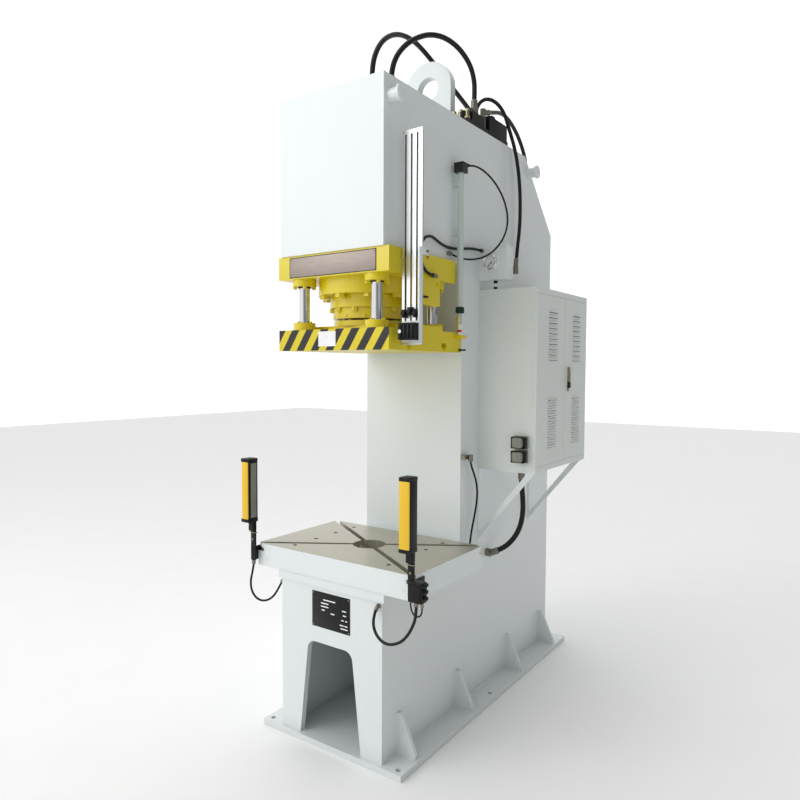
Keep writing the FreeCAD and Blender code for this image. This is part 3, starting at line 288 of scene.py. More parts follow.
def metal_finish(name, colour, roughness, grain, stretch, depth, spread=0.1):
    """Bare metal with a fine grain that runs one way."""
    material, tree, shader, place = blank_finish(name, Metallic=1.0)
    turned = add_node(tree, "ShaderNodeMapping", {"Vector": place}, {"Scale": stretch})
    lines = add_node(tree, "ShaderNodeTexNoise", {"Vector": turned.outputs[0]},
                     {"Scale": 1 / grain, "Detail": 3.0})
    tone = add_node(tree, "ShaderNodeMix", {0: lines.outputs[0]},
                    {6: linear(colour), 7: [c * (1 - spread) for c in linear(colour)[:3]] + [1.0]},
                    data_type="RGBA")
    tree.links.new(tone.outputs[2], shader.inputs["Base Color"])
    rough = add_node(tree, "ShaderNodeMapRange", {"Value": lines.outputs[0]},
                     {"To Min": roughness * 0.8, "To Max": roughness * 1.3})
    tree.links.new(rough.outputs[0], shader.inputs["Roughness"])
    bump = add_node(tree, "ShaderNodeBump", {"Height": lines.outputs[0]},
                    {"Strength": 0.4, "Distance": depth})
    tree.links.new(bump.outputs[0], shader.inputs["Normal"])
    return material


def hard_chrome():
    """Hard chrome on ground posts and rod: a bright mirror with faint rings from the grinding wheel."""
    return metal_finish("hard chrome", "D8D9DB", 0.08, 0.004, (0.2, 0.2, 1.0), 0.00001, 0.04)


def slotted_rail():
    """Clear-anodised extruded aluminium: pale, satin, drawn lengthwise, with painted shade on its slot walls.
    """
    material = metal_finish("slotted aluminium rail", "DADDDD", 0.36, 0.0015, (1.0, 1.0, 0.02), 0.00004)
    tree = material.node_tree
    shader = next(n for n in tree.nodes if n.bl_idname == "ShaderNodeBsdfPrincipled")
    bare = shader.inputs["Base Color"].links[0].from_socket
    low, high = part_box("limit_rail")
    place = add_node(tree, "ShaderNodeTexCoord")
    axes = add_node(tree, "ShaderNodeSeparateXYZ", {0: place.outputs["Object"]})
    # the slots are 25 mm apart and 9 mm wide; the band of painted shade is a little wider than a slot
    slots_from, slot_pitch, shade_band_half = 0.2865, 0.025, 0.0047
    side = add_node(tree, "ShaderNodeMath", {0: axes.outputs["X"]}, {1: slots_from}, operation="SUBTRACT")
    turn = add_node(tree, "ShaderNodeMath", {0: side.outputs[0]}, {1: slot_pitch}, operation="FLOORED_MODULO")
    off = add_node(tree, "ShaderNodeMath", {0: turn.outputs[0]}, {1: slot_pitch / 2}, operation="SUBTRACT")
    away = add_node(tree, "ShaderNodeMath", {0: off.outputs[0]}, operation="ABSOLUTE")
    mask = add_node(tree, "ShaderNodeMath", {0: away.outputs[0]}, {1: shade_band_half}, operation="LESS_THAN")
    for axis, edge, test in (("X", high.x - 0.004, "LESS_THAN"), ("Y", low.y + 0.0002, "GREATER_THAN"),
                             ("Y", low.y + 0.0078, "LESS_THAN")):
        step = add_node(tree, "ShaderNodeMath", {0: axes.outputs[axis]}, {1: edge}, operation=test)
        mask = add_node(tree, "ShaderNodeMath", {0: mask.outputs[0], 1: step.outputs[0]},
                        operation="MULTIPLY")
    # painted shade: the slot walls are coloured near black to stand in for the shade inside the slots
    wall = add_node(tree, "ShaderNodeMix", {0: mask.outputs[0], 6: bare}, {7: linear("15181A")},
                    data_type="RGBA")
    tree.links.new(wall.outputs[2], shader.inputs["Base Color"])
    return material


def brushed_nameplate():
    """Brushed aluminium sheet, slightly warm, with its grain across the plate."""
    return metal_finish("brushed aluminium plate", "A79C95", 0.52, 0.002, (0.03, 1.0, 1.0), 0.00005, 0.16)


def zinc_plate():
    """Zinc plated and yellow passivated steel fittings."""
    return metal_finish("zinc plated steel", "A59F80", 0.3, 0.004, (1.0, 1.0, 1.0), 0.00004, 0.2)


def blackened_steel():
    """Phosphated, oiled valve castings: nearly black with a dull sheen."""
    return metal_finish("blackened steel", "3A3B3A", 0.45, 0.003, (1.0, 1.0, 1.0), 0.0001, 0.3)


def moulded(name, colour, roughness=0.45, grain=0.0018, depth=0.00012):
    """Injection-moulded plastic with a spark-eroded grain, drawn a little coarse."""
    material, tree, shader, place = blank_finish(name, Specular_IOR_Level=0.25)
    spark = add_node(tree, "ShaderNodeTexNoise", {"Vector": place}, {"Scale": 1 / grain, "Detail": 2.0})
    wear = add_node(tree, "ShaderNodeTexNoise", {"Vector": place}, {"Scale": 1 / 0.04, "Detail": 3.0})
    tone = add_node(tree, "ShaderNodeMix", {0: wear.outputs[0]},
                    {6: colour, 7: [min(1.0, c * 1.35 + 0.004) for c in colour[:3]] + [1.0]},
                    data_type="RGBA")
    tree.links.new(tone.outputs[2], shader.inputs["Base Color"])
    rough = add_node(tree, "ShaderNodeMapRange", {"Value": wear.outputs[0]},
                     {"To Min": roughness - 0.06, "To Max": roughness + 0.08})
    tree.links.new(rough.outputs[0], shader.inputs["Roughness"])
    bump = add_node(tree, "ShaderNodeBump", {"Height": spark.outputs[0]},
                    {"Strength": 0.35, "Distance": depth})
    tree.links.new(bump.outputs[0], shader.inputs["Normal"])
    return material


def hose_rubber():
    """Smooth synthetic rubber cover: deep black, satin, with the faint weave of its wrapping."""
    return moulded("black hose rubber", list(bpy.context.scene.press_colours.hose_black), 0.4, 0.003, 0.00015)


def probe_finish():
    """Pale anodised tube with a black moulded head above it."""
    material, tree, shader, place = blank_finish("anodised tube and black head")
    head_height = 0.042
    head_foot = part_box("probe_body")[1].z - head_height
    axes = add_node(tree, "ShaderNodeSeparateXYZ", {0: place})
    head = add_node(tree, "ShaderNodeMath", {0: axes.outputs["Z"]}, {1: head_foot}, operation="GREATER_THAN")
    drawn = add_node(tree, "ShaderNodeMapping", {"Vector": place}, {"Scale": (1.0, 1.0, 0.02)})
    lines = add_node(tree, "ShaderNodeTexNoise", {"Vector": drawn.outputs[0]},
                     {"Scale": 1 / 0.0015, "Detail": 2.0})
    tube = add_node(tree, "ShaderNodeMix", {0: lines.outputs[0]},
                    {6: linear("CDD8D2"), 7: linear("BAC8C0")}, data_type="RGBA")
    both = add_node(tree, "ShaderNodeMix", {0: head.outputs[0], 6: tube.outputs[2]},
                    {7: linear("101816")}, data_type="RGBA")
    tree.links.new(both.outputs[2], shader.inputs["Base Color"])
    rough = add_node(tree, "ShaderNodeMapRange", {"Value": lines.outputs[0]},
                     {"To Min": 0.25, "To Max": 0.42})
    tree.links.new(rough.outputs[0], shader.inputs["Roughness"])
    return material


FINISHES = {
    "white": white_enamel, "cabinet": cabinet_powder, "yellow": yellow_enamel, "hazard": hazard_enamel,
    "table": ground_table, "chrome": hard_chrome, "slotted": slotted_rail, "nameplate": brushed_nameplate,
    "fitting": lambda: metal_finish("dull zinc fitting", "8C877B", 0.38, 0.003, (1.0, 1.0, 1.0), 0.00004),
    "zinc": zinc_plate, "valve": blackened_steel, "rubber": hose_rubber, "probe": probe_finish,
    "black": lambda: moulded("black moulded plastic", linear("0A0A0B")),
    "panel": lambda: moulded("black printed panel", linear("0D0E10"), 0.3, 0.004, 0.00003),
    "pale": lambda: moulded("pale moulded plastic", linear("DADCD6"), 0.4),
    "grey": lambda: moulded("grey die-cast hood", linear("7E8078"), 0.42, 0.003),
    "green": lambda: moulded("dark green clamp", linear("14302A"), 0.4),
    "red": lambda: moulded("red moulded plastic", linear("A8201A"), 0.4),
    "sticker": lambda: moulded("blank white label", linear("E9E6EC"), 0.5, 0.004, 0.00003),
    "curtain": lambda: sprayed_paint("curtain yellow enamel",
                                     list(bpy.context.scene.press_colours.curtain_yellow),
                                     0.35, 0.004, 0.00005)[0],
    "casting": lambda: sprayed_paint("blue-grey casting enamel", linear("5E7182"), 0.45, 0.004, 0.0004,
                                     0.8)[0],
    # painted shade: this dark finish is put round tapped holes, in duct slots and under louvre hoods where
    # only shade falls
    "shadow": lambda: moulded("painted slot shade", linear("1D211F"), 0.8),
}


def finish(name):
    """The named finish, made when it is first asked for."""
    made = bpy.data.materials.get("press " + name)
    if made is None:
        made = FINISHES[name]()
        made.name = "press " + name
    return made


def coat(name, *nodes):
    """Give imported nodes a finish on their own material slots."""
    for node in nodes:
        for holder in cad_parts[node].material_slots:
            holder.material = finish(name)


# ---------------------------------------------------------------- mesh helpers
def add_box(bm, low, high, rounding=0.0, steps=2):
    """A box between two corners, with rounded edges."""
    corners = bmesh.ops.create_cube(bm, size=1.0)["verts"]
    size, middle = high - low, (low + high) / 2
    for corner in corners:
        corner.co = Vector(c * s for c, s in zip(corner.co, size)) + middle
    if rounding:
        edges = {e for v in corners for e in v.link_edges}
        bmesh.ops.bevel(bm, geom=list(edges), offset=rounding, segments=steps, profile=0.5, affect="EDGES")


def add_turned(bm, outline, start, axis, sides=40, closed=False):
    """A turned shape. The outline holds (distance along the axis, radius) pairs."""
    turn = Vector(axis).to_track_quat("Z", "Y").to_matrix()
    rings = []
    for along, radius in outline:
        count = sides if radius > 1e-6 else 1
        rings.append([bm.verts.new(start + turn @ Vector((radius * math.cos(2 * math.pi * i / sides),
                                                          radius * math.sin(2 * math.pi * i / sides), along)))
                      for i in range(count)])
    pairs = list(zip(rings, rings[1:])) + ([(rings[-1], rings[0])] if closed else [])
    for lower, upper in pairs:
        for i in range(sides):
            j = (i + 1) % sides
            corners = [lower[i % len(lower)], lower[j % len(lower)], upper[j % len(upper)],
                       upper[i % len(upper)]]
            bm.faces.new(list(dict.fromkeys(corners)))
    if not closed:
        for ring in (rings[0], rings[-1]):
            if len(ring) > 1:
                bm.faces.new(ring)


def add_bolt(bm, start, axis, radius, height):
    """A chamfered hexagon head."""
    add_turned(bm, [(0, radius), (height * 0.82, radius), (height, radius * 0.86)], start, axis, 6)


def add_cap_screw(bm, start, axis, radius, height):
    """A round head with a deep socket."""
    add_turned(bm, [(0, radius), (height * 0.88, radius), (height, radius * 0.9), (height, radius * 0.52),
                    (height * 0.4, radius * 0.5), (height * 0.4, 0)], start, axis, 18)


def add_rod(bm, start, end, radius, sides=24, end_radius=None):
    """A round bar or taper between two points."""
    length = (end - start).length
    last = radius if end_radius is None else end_radius
    edge = min(radius, last) * 0.12
    add_turned(bm, [(0, radius - edge), (edge, radius), (length - edge, last), (length, last - edge)],
               start, end - start, sides)


def make_piece(name, bm, finish_name, body, tree=None, inputs=None, replaced=(), sharp=32):
    """Turn the mesh work into a piece that rides a body, after any node tree has repeated it."""
    bmesh.ops.remove_doubles(bm, verts=bm.verts, dist=1e-6)
    if bm.faces:
        bmesh.ops.recalc_face_normals(bm, faces=bm.faces)
    mesh = bpy.data.meshes.new(name)
    bm.to_mesh(mesh)
    bm.free()
    piece = bpy.data.objects.new(name, mesh)
    bpy.context.scene.collection.objects.link(piece)
    if tree is not None:
        run_tree(piece, tree, dict(inputs or {}, Material=finish(finish_name)))
    else:
        mesh.materials.append(finish(finish_name))
    piece.data.polygons.foreach_set("use_smooth", [True] * len(piece.data.polygons))
    piece.data.set_sharp_from_angle(angle=math.radians(sharp))
    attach(piece, body)
    if replaced:
        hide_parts(*replaced)
    return piece


# ---------------------------------------------------------------- node trees for what repeats
def run_tree(piece, tree, inputs):
    """Run a tree on a piece's mesh and keep the result as its plain mesh."""
    modifier = piece.modifiers.new(tree.name, "NODES")
    modifier.node_group = tree
    for item in tree.interface.items_tree:
        if item.item_type == "SOCKET" and item.in_out == "INPUT" and item.name in inputs:
            modifier[item.identifier] = inputs[item.name]
    bpy.context.view_layer.update()
    graph = bpy.context.evaluated_depsgraph_get()
    made = bpy.data.meshes.new_from_object(piece.evaluated_get(graph))
    piece.modifiers.clear()
    piece.data = made


def start_tree(name, sockets):
    """An empty geometry tree with its named inputs."""
    tree = bpy.data.node_groups.new(name, "GeometryNodeTree")
    tree.interface.new_socket("Geometry", in_out="INPUT", socket_type="NodeSocketGeometry")
    for label, kind in sockets:
        tree.interface.new_socket(label, in_out="INPUT", socket_type="NodeSocket" + kind)
    tree.interface.new_socket("Geometry", in_out="OUTPUT", socket_type="NodeSocketGeometry")
    return tree, add_node(tree, "NodeGroupInput")


def close_tree(tree, given, geometry):
    """Make the instances real, set the finish and send the result out."""
    real = add_node(tree, "GeometryNodeRealizeInstances", {0: geometry})
    painted = add_node(tree, "GeometryNodeSetMaterial", {"Geometry": real.outputs[0],
                                                         "Material": given.outputs["Material"]})
    add_node(tree, "NodeGroupOutput", {0: painted.outputs[0]})


def grid_tree():
    """Copies the piece's own mesh over columns and rows."""
    tree = bpy.data.node_groups.get("Repeat on a grid")
    if tree is not None:
        return tree
    tree, given = start_tree("Repeat on a grid",
                             (("Columns", "Int"), ("Rows", "Int"), ("Column step", "Vector"),
                                                  ("Row step", "Vector"), ("Material", "Material")))
    column = add_node(tree, "GeometryNodeMeshLine", {"Count": given.outputs["Columns"],
                                                     "Offset": given.outputs["Column step"]})
    row = add_node(tree, "GeometryNodeMeshLine",
                   {"Count": given.outputs["Rows"], "Offset": given.outputs["Row step"]})
    lines = add_node(tree, "GeometryNodeInstanceOnPoints",
                     {"Points": column.outputs[0], "Instance": row.outputs[0]})
    points = add_node(tree, "GeometryNodeRealizeInstances", {0: lines.outputs[0]})
    copies = add_node(tree, "GeometryNodeInstanceOnPoints", {"Points": points.outputs[0],
                                                             "Instance": given.outputs["Geometry"]})
    close_tree(tree, given, copies.outputs[0])
    return tree


def ring_tree():
    """Copies the piece's own mesh round the Z axis, then tilts and moves the ring of copies to its place."""
    tree = bpy.data.node_groups.get("Repeat in a ring")
    if tree is not None:
        return tree
    tree, given = start_tree("Repeat in a ring", (("Count", "Int"), ("Step", "Float"), ("Centre", "Vector"),
                                                  ("Tilt", "Vector"), ("Material", "Material")))
    spots = add_node(tree, "GeometryNodeMeshLine", {"Count": given.outputs["Count"]}, {"Offset": (0, 0, 0)})
    index = add_node(tree, "GeometryNodeInputIndex")
    angle = add_node(tree, "ShaderNodeMath", {0: index.outputs[0], 1: given.outputs["Step"]},
                     operation="MULTIPLY")
    turn = add_node(tree, "ShaderNodeCombineXYZ", {"Z": angle.outputs[0]})
    copies = add_node(tree, "GeometryNodeInstanceOnPoints", {"Points": spots.outputs[0],
                                                             "Instance": given.outputs["Geometry"],
                                                             "Rotation": turn.outputs[0]})
    real = add_node(tree, "GeometryNodeRealizeInstances", {0: copies.outputs[0]})
    placed = add_node(tree, "GeometryNodeTransform", {"Geometry": real.outputs[0],
                                                      "Translation": given.outputs["Centre"],
                                                      "Rotation": given.outputs["Tilt"]})
    close_tree(tree, given, placed.outputs[0])
    return tree


def bead_tree():
    """Lays a rippled weld bead along the piece's own edges."""
    tree = bpy.data.node_groups.get("Weld bead")
    if tree is not None:
        return tree
    tree, given = start_tree("Weld bead",
                             (("Radius", "Float"), ("Ripple", "Float"), ("Material", "Material")))
    path = add_node(tree, "GeometryNodeMeshToCurve", {0: given.outputs["Geometry"]})
    fine = add_node(tree, "GeometryNodeResampleCurve",
                    {"Curve": path.outputs[0], "Length": given.outputs["Ripple"]},
                    mode="LENGTH")
    index = add_node(tree, "GeometryNodeInputIndex")
    wave = add_node(tree, "ShaderNodeMath", {0: index.outputs[0]}, {1: 2.0}, operation="MODULO")
    size = add_node(tree, "ShaderNodeMapRange", {"Value": wave.outputs[0]}, {"To Min": 0.85, "To Max": 1.1})
    swell = add_node(tree, "GeometryNodeSetCurveRadius",
                     {"Curve": fine.outputs[0], "Radius": size.outputs[0]})
    profile = add_node(tree, "GeometryNodeCurvePrimitiveCircle", {"Radius": given.outputs["Radius"]},
                       {"Resolution": 8})
    tube = add_node(tree, "GeometryNodeCurveToMesh",
                    {"Curve": swell.outputs[0], "Profile Curve": profile.outputs[0],
                                                      "Scale": size.outputs[0]}, {"Fill Caps": True})
    close_tree(tree, given, tube.outputs[0])
    return tree


def add_path(bm, points):
    """Loose edges through the points, for a bead to follow."""
    corners = [bm.verts.new(p) for p in points]
    for first, second in zip(corners, corners[1:]):
        bm.edges.new((first, second))


# ---------------------------------------------------------------- the stage
class PRESS_OT_stage(bpy.types.Operator):
    """Make the floor, the studio lights and the camera"""
    bl_idname = "press.stage"
    bl_label = "Stage"

    def execute(self, context):
        stage = context.scene.press_stage
        bm = bmesh.new()
        bmesh.ops.create_grid(bm, x_segments=8, y_segments=8, size=stage.floor)
        for v in bm.verts:
            v.co.z = -0.0005
        mesh = bpy.data.meshes.new("floor")
        bm.to_mesh(mesh)
        bm.free()
        floor = bpy.data.objects.new("floor", mesh)
        context.scene.collection.objects.link(floor)
        mesh.materials.append(self.floor_finish())
        world = bpy.data.worlds.new("studio")
        world.use_nodes = True
        sky = world.node_tree.nodes["Background"]
        self.room(world.node_tree, sky, stage)
        context.scene.world = world
        context.scene.view_settings.view_transform = "Standard"
        self.soft_box(context, "front key", stage.key_light, 3.4, (-3.4, -5.2, 4.4), (0.0, 0.0, 1.4))
        self.soft_box(context, "side fill", stage.fill_light, 3.0, (5.0, -1.6, 3.6), (0.0, 0.0, 1.3))
        self.camera(context, stage)
        return {"FINISHED"}

    def room(self, tree, sky, stage):
        """White walls all round, falling to a dim wall on the cabinet's side."""
        sky.inputs[0].default_value = (1.0, 1.0, 1.0, 1.0)
        ways = add_node(tree, "ShaderNodeTexCoord")
        axes = add_node(tree, "ShaderNodeSeparateXYZ", {0: ways.outputs["Generated"]})
        fall = add_node(tree, "ShaderNodeMapRange", {"Value": axes.outputs["X"]},
                        {"From Min": -0.02, "From Max": 0.55, "To Min": stage.room_light,
                         "To Max": stage.room_light * stage.dim_side}, interpolation_type="SMOOTHSTEP")
        tree.links.new(fall.outputs[0], sky.inputs[1])

    def floor_finish(self):
        """Seamless white paper: matt, with no pattern that the eye can find."""
        material, tree, shader, place = blank_finish("white paper sweep", Roughness=0.9)
        fibre = add_node(tree, "ShaderNodeTexNoise", {"Vector": place}, {"Scale": 4.0, "Detail": 3.0})
        tone = add_node(tree, "ShaderNodeMix", {0: fibre.outputs[0]},
                        {6: linear("FBFBFB"), 7: linear("F6F6F7")},
                        data_type="RGBA")
        tree.links.new(tone.outputs[2], shader.inputs["Base Color"])
        return material

    def soft_box(self, context, name, power, size, place, aim):
        lamp = bpy.data.lights.new(name, "AREA")
        lamp.energy = power
        lamp.size = size
        holder = bpy.data.objects.new(name, lamp)
        holder.location = place
        holder.rotation_euler = (Vector(aim) - Vector(place)).to_track_quat("-Z", "Y").to_euler()
        context.scene.collection.objects.link(holder)

    def camera(self, context, stage):
        lens = bpy.data.cameras.new("camera")
        lens.sensor_width = 36.0
        lens.lens = stage.lens
        camera = bpy.data.objects.new("camera", lens)
        heading, dip, roll = stage.heading, stage.dip, stage.roll
        forward = Vector((-math.sin(heading) * math.cos(dip), math.cos(heading) * math.cos(dip),
                          -math.sin(dip)))
        right = Vector((math.cos(heading), math.sin(heading), 0))
        up = right.cross(forward)
        level = right * math.cos(roll) + up * math.sin(roll)
        tall = up * math.cos(roll) - right * math.sin(roll)
        turn = Matrix((level, tall, -forward)).transposed()
        camera.matrix_world = Matrix.Translation(Vector(stage.eye)) @ turn.to_4x4()
        context.scene.collection.objects.link(camera)
        context.scene.camera = camera


# ---------------------------------------------------------------- hoses and cables
# Diameter, stiffness and route of each hose, in metres: side, depth behind the body's front, height.
HOSES = {
    "hose_down_side": (0.022, "stiff", [
        (0.102, 0.256, 2.648), (0.103, 0.262, 2.712), (0.109, 0.288, 2.776), (0.121, 0.340, 2.838),
        (0.136, 0.405, 2.886), (0.153, 0.474, 2.920), (0.172, 0.556, 2.934), (0.192, 0.640, 2.918),
        (0.207, 0.712, 2.872), (0.213, 0.744, 2.810), (0.213, 0.747, 2.744), (0.212, 0.744, 2.684)]),
    "hose_up_side": (0.022, "stiff", [
        (0.007, 0.256, 2.648), (0.006, 0.258, 2.716), (0.005, 0.272, 2.786), (0.002, 0.314, 2.856),
        (-0.002, 0.376, 2.914), (-0.006, 0.452, 2.956), (-0.011, 0.534, 2.978), (-0.015, 0.614, 2.982),
        (-0.016, 0.692, 2.968), (-0.006, 0.760, 2.936), (0.022, 0.812, 2.882), (0.066, 0.842, 2.814),
        (0.116, 0.852, 2.746), (0.156, 0.842, 2.690), (0.176, 0.830, 2.640)]),
    "hose_side": (0.017, "stiff", [
        (0.204, 0.778, 2.664), (0.204, 0.778, 2.701), (0.218, 0.823, 2.752), (0.238, 0.890, 2.762),
        (0.257, 0.951, 2.727), (0.268, 0.988, 2.652), (0.286, 1.018, 2.562), (0.295, 1.038, 2.468),
        (0.299, 1.050, 2.374), (0.299, 1.056, 2.280), (0.297, 1.055, 2.188), (0.292, 1.044, 2.098),
        (0.290, 1.032, 2.008)]),
    "hose_rear": (0.019, "stiff", [
        (0.213, 0.856, 2.700), (0.208, 0.930, 2.724), (0.200, 1.018, 2.753), (0.194, 1.106, 2.761),
        (0.190, 1.192, 2.739), (0.190, 1.268, 2.695), (0.190, 1.336, 2.624), (0.190, 1.350, 2.567),
        (0.190, 1.336, 2.513), (0.190, 1.316, 2.493)]),
    "probe_cable": (0.008, "medium", [
        (0.293, 0.514, 2.350), (0.302, 0.534, 2.364), (0.322, 0.566, 2.368), (0.346, 0.606, 2.350),
        (0.370, 0.648, 2.312), (0.389, 0.682, 2.262), (0.401, 0.702, 2.206), (0.405, 0.708, 2.152),
        (0.400, 0.698, 2.100), (0.386, 0.674, 2.052), (0.365, 0.640, 2.012), (0.340, 0.600, 1.986),
        (0.314, 0.564, 1.976), (0.290, 0.530, 1.976), (0.273, 0.494, 1.983), (0.269, 0.456, 1.990)]),
    "hose_block": (0.012, "stiff", [
        (0.290, 0.284, 1.880), (0.290, 0.240, 1.883), (0.290, 0.200, 1.920), (0.290, 0.190, 1.974),
        (0.289, 0.222, 2.020), (0.287, 0.278, 2.034), (0.281, 0.338, 2.020), (0.274, 0.398, 2.012),
        (0.270, 0.458, 2.013), (0.270, 0.520, 2.018), (0.273, 0.580, 2.030), (0.280, 0.636, 2.036),
        (0.285, 0.690, 2.035)]),
    "conduit_main": (0.024, "stiff", [
        (0.400, 0.890, 1.040), (0.400, 0.892, 0.978), (0.403, 0.902, 0.912), (0.403, 0.906, 0.846),
        (0.396, 0.898, 0.784), (0.378, 0.880, 0.732), (0.350, 0.856, 0.692), (0.316, 0.836, 0.668),
        (0.280, 0.822, 0.652)]),
    "column_cable": (0.009, "medium", [
        (0.285, 0.612, 1.108), (0.285, 0.618, 1.086), (0.287, 0.640, 1.050), (0.288, 0.662, 1.008),
        (0.288, 0.672, 0.960), (0.287, 0.666, 0.906), (0.286, 0.648, 0.852), (0.285, 0.628, 0.800),
        (0.285, 0.613, 0.744), (0.285, 0.610, 0.692), (0.285, 0.613, 0.644)]),
    "left_bar_cable": (0.009, "medium", [
        (-0.403, -0.023, 0.684), (-0.410, -0.024, 0.648), (-0.420, -0.026, 0.610), (-0.418, -0.025, 0.572),
        (-0.400, -0.021, 0.542), (-0.374, -0.013, 0.528), (-0.346, -0.003, 0.531), (-0.320, 0.007, 0.549),
        (-0.300, 0.015, 0.580), (-0.280, 0.020, 0.619)]),
    "right_bar_cable": (0.011, "medium", [
        (0.244, -0.022, 0.619), (0.247, -0.040, 0.596), (0.260, -0.054, 0.566), (0.284, -0.062, 0.542),
        (0.316, -0.067, 0.529), (0.352, -0.069, 0.532), (0.390, -0.062, 0.550), (0.416, -0.056, 0.582),
        (0.434, -0.050, 0.622), (0.440, -0.047, 0.652), (0.440, -0.046, 0.684)]),
    "bar_loop_cable": (0.006, "medium", [
        (0.401, -0.023, 0.684), (0.401, -0.024, 0.662), (0.420, -0.031, 0.643), (0.446, -0.040, 0.643),
        (0.465, -0.046, 0.662), (0.465, -0.046, 0.684)]),
}


class PRESS_OT_hoses(bpy.types.Operator):
    """Make the hoses and cables, and the glands that hold their ends"""
    bl_idname = "press.hoses"
    bl_label = "Hoses and cables"

    def execute(self, context):
        coat("fitting", "end_fittings")
        for name, (thick, stiffness, route) in HOSES.items():
            points = [at(*p) for p in route]
            line = bpy.data.curves.new(name + "_line", "CURVE")
            line.dimensions = "3D"
            spline = line.splines.new("NURBS")
            spline.points.add(len(points) - 1)
            for knot, point in zip(spline.points, points):
                knot.co = (*point, 1.0)
                # each point carries the radius, because the curve's box counts it
                knot.radius = thick / 2
            spline.order_u = 3
            spline.use_endpoint_u = True
            spline.resolution_u = 10
            line.bevel_depth = 1.0
            line.bevel_resolution = 5
            line.use_fill_caps = True
            line.materials.append(finish("rubber"))
            hose = bpy.data.objects.new(name + "_rubber", line)
            context.scene.collection.objects.link(hose)
            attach(hose, "frame")
            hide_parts(name)
            self.measure(hose)
            if thick > 0.015:
                self.crimps(name, thick, points)
        return {"FINISHED"}

    def measure(self, hose):
        """The length along the middle of the hose."""
        depth, hose.data.bevel_depth = hose.data.bevel_depth, 0.0
        middle = bpy.data.meshes.new_from_object(hose)
        hose.data.bevel_depth = depth
        places = [v.co for v in middle.vertices]
        length = sum((b - a).length for a, b in zip(places, places[1:]))
        bpy.data.meshes.remove(middle)
        return length

    def crimps(self, name, thick, points):
        """Pressed ferrules with three grooves and a hexagon behind, at both hose ends."""
        bm = bmesh.new()
        outer = thick * 0.66
        for start, following in ((points[0], points[1]), (points[-1], points[-2])):
            axis = (following - start).normalized()
            outline = [(0, thick * 0.4), (0.002, outer * 0.9), (0.006, outer)]
            for groove in range(3):
                z = 0.009 + groove * 0.008
                outline += [(z, outer), (z + 0.001, outer * 0.92), (z + 0.003, outer * 0.92),
                            (z + 0.004, outer)]
            outline += [(0.036, outer), (0.039, thick * 0.52)]
            add_turned(bm, outline, start, axis, 32)
            add_bolt(bm, start - axis * 0.012, axis, outer * 1.08, 0.012)
        make_piece(name + "_ferrules", bm, "fitting", "frame")


